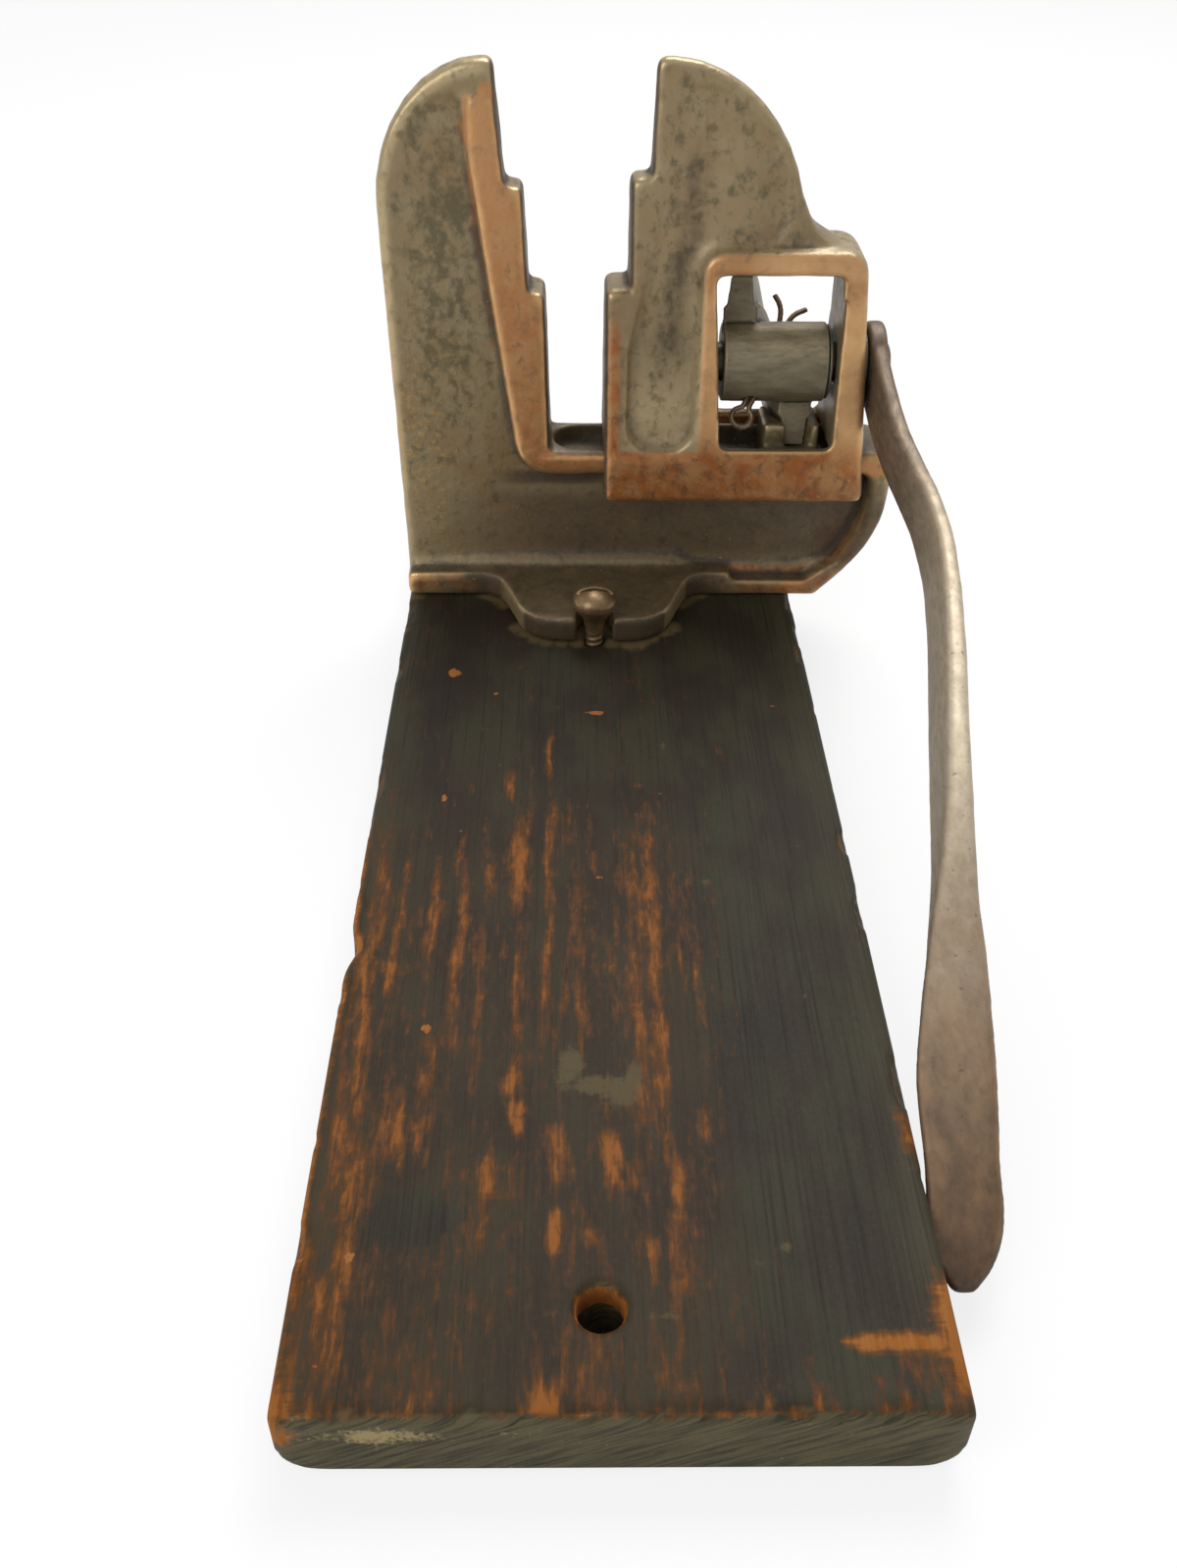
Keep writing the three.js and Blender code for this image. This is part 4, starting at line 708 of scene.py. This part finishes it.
def frame_skin(paint):
    piece, skin = fine_copy("frame_casting", "frame", voxel=0.8, rounds=9)
    points = skin.points
    x, y, z = points.T
    normals = skin.normals()
    flat = ramp(np.abs(normals[:, 1]), *FACES_SIDEWAYS)
    upwards = ramp(normals[:, 2], *FACES_UP)
    outer = ramp(np.abs(y - MID_PLANE), *TROUGH_WALL)
    near_fork = band(x, *FORK_ENDS)
    fork = band(z, RAIL_TOP - 12, FORK_TOP) * near_fork

    # The rubbed strip along the fixed jaw's steps
    from_line = x - np.interp(z, STRIP_HEIGHTS, STRIP_EDGES)
    ragged = 1.6 * cloud(points, (5, 5, 7), octaves=3, seed=8)
    strip_top = STRIP_HEIGHTS[-1] + 3 - 0.5 * np.clip(6 - from_line, 0, 6)
    strip = ramp(from_line + ragged, -3.5, 1.5) * ramp(z, LIP_BOTTOM - 1, LIP_BOTTOM + 1) * flat
    strip = strip * ramp(strip_top - z + ragged, -2, 3)
    strip = strip * np.maximum(outer, ramp(z, RAIL_TOP - 1, RAIL_TOP + 2) * (1 - near_fork))

    # The foot
    foot_face = flat * band(z, BOARD_TOP, FOOT_TOP, 1.5)
    foot_level = upwards * fall(z, FOOT_TOP, FOOT_TOP + 3)
    foot_blotch = ramp(cloud(points, (9, 9, 6), octaves=3, seed=9), -0.1, 0.4)
    foot_ends = ramp(np.abs(x - FOOT_MIDDLE), *FOOT_ENDS)
    foot_left_edge = fall(x, -54, -44) * flat * band(z, FOOT_TOP - 3, FOOT_TOP + 1)

    lip = band(z, LIP_BOTTOM + 0.5, RAIL_TOP + 1) * ramp(x, *LIP_START) * flat * outer * (1 - near_fork)
    left_side = 0.35 * fall(x, *FRAME_LEFT) * band(z, 45, 150, 20)
    right_end = 0.45 * ramp(x, *FRAME_RIGHT) * fall(z, 50, 66)
    foot_rubbed = (0.45 * foot_blotch + 0.5 * foot_ends) * foot_face
    rubbed = np.maximum.reduce([strip, 0.8 * lip, left_side, foot_rubbed, 0.2 * foot_level, right_end])

    from_crown = np.hypot(
        (x - CROWN_MIDDLE[0]) / CROWN_REACH[0], np.clip(z - CROWN_MIDDLE[1], 0, None) / CROWN_REACH[1]
    )
    # Painted highlights: the crown's bead, the strip more towards its top, the left side and the foot's left
    # edge
    bead = 1.4 * ramp(from_crown, *CROWN_BEAD) * fall(x, -40, -30) * ramp(z, 60, 130)
    pale_mark_and_highlight = strip * (0.2 + 0.3 * ramp(z, 110, 190)) + 0.2 * left_side + 0.6 * foot_left_edge
    pale_mark_and_highlight = np.maximum(pale_mark_and_highlight, bead * (1 - 0.6 * rubbed))

    # Painted shade: on the stepped jaw faces, the panel, under the lip, faces looking up at the rail and the
    # foot, the foot's front face, the fork and the trough
    jaw_face = ramp(normals[:, 0], 0.5, 0.85) * ramp(z, RAIL_TOP - 2, RAIL_TOP + 2)
    panel = flat * band(z, FOOT_TOP, PANEL_TOP, 8) * ramp(x, -85, -10)
    under_lip_shadow = flat * band(z, PANEL_TOP, LIP_BOTTOM - 0.5, 2.5) * band(x, -36, 4, 12)
    rail = upwards * band(z, RAIL_TOP - 12, RAIL_TOP + 12)
    trough = (1 - outer) * band(z, RAIL_TOP - 10, RAIL_TOP + 1) * ramp(x, *TROUGH_START)
    foot_shade = (1.05 - 0.7 * foot_ends - 0.2 * foot_blotch) * foot_face
    dark = np.maximum.reduce([
        0.8 * jaw_face, 0.74 * panel, 0.9 * under_lip_shadow, 0.6 * rail, 0.7 * foot_level, foot_shade,
        0.35 * fork, 0.7 * trough,
    ])
    mottle = np.maximum.reduce([band(x, -62, -42, 7) * band(z, 90, 185, 25), 0.4 * upwards, 1.5 * fork])
    gilt = flat * fall(x, -62, -40) * band(z, 40, 110, 25) + 0.5 * fork
    note_casting(skin, rubbed, pale_mark_and_highlight, dark, mottle, gilt)
    skin.waved(depth=0.16, size=11, seed=4)
    skin.write()
    piece.data.materials.append(paint)


def jaw_skin(paint):
    piece, skin = fine_copy("sliding_jaw", "sliding_jaw", voxel=0.7, rounds=10)
    points = skin.points
    x, y, z = points.T
    normals = skin.normals()
    front = ramp(np.abs(normals[:, 1]), *FACES_SIDEWAYS)
    upwards = ramp(normals[:, 2], *FACES_UP)
    outside_x = np.maximum(WINDOW[0] - x, x - WINDOW[1])
    outside_z = np.maximum(WINDOW[2] - z, z - WINDOW[3])
    outside = np.hypot(np.clip(outside_x, 0, None), np.clip(outside_z, 0, None))

    past_strip = x - stepped(SLIDER_STEPS, z) - SLIDER_STRIP_WIDTH
    strip = 0.75 * fall(past_strip, -1.5, 2.5) * fall(z, 100, 150)
    low_band = fall(z, BAND_TOP - 1.5, BAND_TOP + 2.5)
    ring = 0.8 * fall(outside, WINDOW_RIM - 3, WINDOW_RIM + 1)
    right_bar = ramp(x, *SLIDER_RIGHT) * fall(z, 120, 145)
    rubbed = np.maximum.reduce([strip, low_band, ring, right_bar]) * front
    rubbed = np.maximum(rubbed, 0.3 * ramp(normals[:, 0], *FACES_ONE_WAY))

    # Painted highlights on the window's top, left and right bars, the pocket, faces leaning up at the crown,
    # and the shoulder
    top_bar = band(z, 136, 146, 3) * ramp(x, 36, 55)
    left_bar = band(x, 30, 41, 2) * band(z, 84, 134, 8)
    shoulder = band(x, 14, 45, 8) * band(z, 125, 190, 20)
    pocket = band(x, 9, 29, 4) * band(z, 80, 104, 14) * (1 - low_band)
    crown = ramp(z, 150, 185) * ramp(normals[:, 2], *LEANS_UP)
    pale_mark_and_highlight = np.maximum.reduce([
        right_bar * ramp(z, 72, 90), 0.85 * top_bar, 0.9 * pocket, 0.8 * left_bar, 0.8 * crown,
        0.35 * shoulder,
    ])

    # Painted shade: on the stepped faces, faces inside the window, the valley beside the flute, faces looking
    # up, the low band towards its right and bottom, and under the box; the valley also gets more dark spots
    jaw_face = ramp(-normals[:, 0], *FACES_ONE_WAY) * fall(x, 18, 22)
    inside = (1 - front) * (outside < 0.5)
    from_valley = x - np.interp(z, VALLEY_HEIGHTS, VALLEY_PLACES)
    valley = np.exp(-(from_valley / VALLEY_REACH) ** 2) * band(z, 104, 176, 14) * front
    valley = valley * (0.8 + 0.4 * cloud(points, (5, 5, 9), octaves=3, seed=10))
    low_band_shade = 0.4 * low_band * (0.4 + 0.6 * ramp(x, 40, 75)) * fall(z, 64, 76)
    under_box_shadow = 0.35 * front * band(z, 143, 152, 5) * ramp(x, 30, 44)
    dark = np.maximum.reduce([
        0.75 * jaw_face, 0.6 * inside, 0.75 * valley, 0.15 * upwards, low_band_shade, under_box_shadow,
    ])
    mottle = np.maximum(0.8 * valley, 0.3 * band(z, 145, 190, 20))
    gilt = 0.4 * front * fall(z, 80, 110)
    note_casting(skin, rubbed, pale_mark_and_highlight, dark, mottle, gilt)
    skin.waved(depth=0.15, size=10, seed=5)
    skin.write()
    piece.data.materials.append(paint)


# Small metal pieces

def round_tip(skin):
    """Makes the end of the paddle a little blunter."""
    near_tip = ramp(-skin.points[:, 1], *LEVER_TIP)
    middle = skin.points[:, 0][near_tip > 0].mean()
    skin.points[:, 0] += 0.4 * near_tip * (skin.points[:, 0] - middle)


def metal_skin(node, body, voxel, rounds, paint, lump=0.0, lump_size=8):
    piece, skin = fine_copy(node, body, voxel, rounds)
    skin.note("up", ramp(skin.normals()[:, 2], 0.2, 0.8))
    fine = skin.bulge(SMALL_ROUNDS)
    skin.note("edge", np.clip(fine / (0.25 * voxel), 0, 1.5))
    grime_and_shade = np.clip(-fine / (0.3 * voxel), 0, 1)
    if node == "lever":
        round_tip(skin)
        # Painted highlight along the lever's middle, a little stronger on faces looking up
        shine = np.interp(skin.points[:, 1], LEVER_PLACES, LEVER_HIGHLIGHT)
        skin.note("shine", shine * (0.85 + 0.15 * ramp(skin.normals()[:, 2], 0.1, 0.7)))
        # Painted shade, darker towards both ends of the lever
        grime_and_shade = grime_and_shade + np.interp(skin.points[:, 1], LEVER_PLACES, LEVER_SHADE)
    skin.note("grime_and_shade", grime_and_shade)
    if lump:
        skin.waved(lump, lump_size, seed=6)
    skin.write()
    piece.data.materials.append(paint)


def screw_skin(node, place, paint):
    """A base screw whose shank carries a thread up to a little under its neck."""
    piece, skin = fine_copy(node, "frame", voxel=0.25, rounds=6)
    fine = skin.bulge(SMALL_ROUNDS)
    skin.note("edge", np.clip(fine / 0.3, 0, 0.6))
    # Hollows get grime and painted shade
    skin.note("grime_and_shade", np.clip(-fine / 0.1, 0, 1))
    from_axis = skin.points[:, :2] - np.array(place)
    radius = np.hypot(*from_axis.T)
    turns = np.arctan2(from_axis[:, 1], from_axis[:, 0]) / (2 * math.pi)
    share = np.mod(skin.points[:, 2] / THREAD_PITCH - turns, 1)
    groove = THREAD_DEPTH * (1 - np.abs(2 * share - 1)) * (radius < SHANK_RADIUS + 0.2)
    groove = groove * fall(skin.points[:, 2], THREAD_TOP - 1, THREAD_TOP) / radius.clip(1)
    skin.points[:, :2] -= from_axis * groove[:, None]
    skin.write()
    piece.data.materials.append(paint)


# Stage, lamps and camera

def make_stage():
    """A white floor that keeps the object's shadow and, to the camera, glows almost as white as the sky."""
    floor_mesh = bpy.data.meshes.new("floor")
    far = FLOOR_REACH
    corners = [(-far, -far, 0), (far, -far, 0), (far, far, 0), (-far, far, 0)]
    floor_mesh.from_pydata(corners, [], [(0, 1, 2, 3)])
    floor = bpy.data.objects.new("floor", floor_mesh)
    floor.location.z = -FLOOR_DROP
    bpy.context.scene.collection.objects.link(floor)
    material = bpy.data.materials.new("floor_white")
    material.use_nodes = True
    nodes = material.node_tree.nodes
    links = material.node_tree.links
    shader = nodes["Principled BSDF"]
    shader.inputs["Base Color"].default_value = FLOOR_WHITE
    shader.inputs["Roughness"].default_value = 0.9
    path = nodes.new("ShaderNodeLightPath")
    glow = nodes.new("ShaderNodeEmission")
    glow.inputs["Color"].default_value = (1, 1, 1, 1)
    glow.inputs["Strength"].default_value = 1.0
    share = nodes.new("ShaderNodeMath")
    share.operation = "MULTIPLY"
    share.inputs[1].default_value = FLOOR_GLOW_SEEN
    blend = nodes.new("ShaderNodeMixShader")
    links.new(path.outputs["Is Camera Ray"], share.inputs[0])
    links.new(share.outputs[0], blend.inputs[0])
    links.new(shader.outputs[0], blend.inputs[1])
    links.new(glow.outputs[0], blend.inputs[2])
    links.new(blend.outputs[0], nodes["Material Output"].inputs["Surface"])
    floor_mesh.materials.append(material)


def make_world():
    """A soft sky that the camera sees as white."""
    world = bpy.data.worlds.new("studio")
    bpy.context.scene.world = world
    world.use_nodes = True
    nodes = world.node_tree.nodes
    links = world.node_tree.links
    background = nodes["Background"]
    background.inputs["Color"].default_value = SKY_TONE
    path = nodes.new("ShaderNodeLightPath")
    strength = nodes.new("ShaderNodeMix")
    strength.inputs[2].default_value = SKY_LIGHT
    strength.inputs[3].default_value = SKY_SEEN
    links.new(path.outputs["Is Camera Ray"], strength.inputs[0])
    links.new(strength.outputs[0], background.inputs["Strength"])


def make_lamp(name, place, target, size, power):
    lamp = bpy.data.lights.new(name, "AREA")
    lamp.shape = "DISK"
    lamp.size = size
    lamp.energy = power
    holder = bpy.data.objects.new(name, lamp)
    holder.location = place
    holder.rotation_euler = (Vector(target) - Vector(place)).to_track_quat("-Z", "Y").to_euler()
    bpy.context.scene.collection.objects.link(holder)


def make_camera():
    camera = bpy.data.cameras.new("photo_camera")
    camera.sensor_width = SENSOR
    camera.lens = FOCAL_PIXELS / PHOTO_HEIGHT * SENSOR
    camera.clip_start = NEAREST_SEEN
    holder = bpy.data.objects.new("photo_camera", camera)
    axes = Matrix((CAMERA_RIGHT, CAMERA_UP, -CAMERA_FORWARD)).transposed()
    holder.matrix_world = Matrix.Translation(CAMERA_PLACE) @ axes.to_4x4()
    bpy.context.scene.collection.objects.link(holder)
    bpy.context.scene.camera = holder


make_camera()
make_world()
make_stage()
make_lamp("key", place=(0.25, 0.75, 1.35), target=(0, 0.05, 0.05), size=0.9, power=16)
make_lamp("fill", place=(-0.9, -0.9, 0.9), target=(0, 0.0, 0.08), size=1.2, power=8)
bpy.context.scene.view_settings.view_transform = "Standard"

bronzed = casting_paint("bronzed_casting")
wood_skin()
frame_skin(bronzed)
jaw_skin(bronzed)

# The barrel and the lever get painted shade on faces that don't look up
grey = plain_metal(
    "grey_casting", light=(156, 142, 112), dark=(126, 114, 88), deep=(66, 60, 46),
    roughness=0.42, metallic=0.35, streak=(9, 3, 3), side=0.45,
)
steel = plain_metal(
    "lever_steel", light=(116, 86, 58), dark=(92, 69, 46), deep=(76, 60, 44),
    roughness=0.5, metallic=0.35, streak=(10, 22, 10), side=0.3,
)
dark_steel = plain_metal(
    "dark_steel", light=(96, 90, 76), dark=(76, 70, 60), deep=(48, 44, 38), roughness=0.4, metallic=0.6
)
wire = plain_metal(
    "brown_wire", light=(120, 96, 72), dark=(88, 66, 48), deep=(56, 44, 34), roughness=0.4, metallic=0.5
)
bronze = plain_metal(
    "screw_metal", light=(138, 114, 82), dark=(112, 90, 62), deep=(78, 60, 42), roughness=0.34, metallic=0.7
)
metal_skin("cam_barrel", "lever", voxel=0.5, rounds=3, paint=grey, lump=0.08)
metal_skin("cam_shaft", "lever", voxel=0.4, rounds=2, paint=dark_steel)
metal_skin("thrust_washer", "lever", voxel=0.35, rounds=1, paint=dark_steel)
metal_skin("lever_washer", "lever", voxel=0.35, rounds=1, paint=dark_steel)
metal_skin("cotter_pin", "lever", voxel=0.25, rounds=2, paint=wire)
metal_skin("lever", "lever", voxel=0.7, rounds=3, paint=steel, lump=0.12, lump_size=14)
screw_skin("front_base_screw", SCREW_PLACES[0], bronze)
screw_skin("rear_base_screw", SCREW_PLACES[1], bronze)
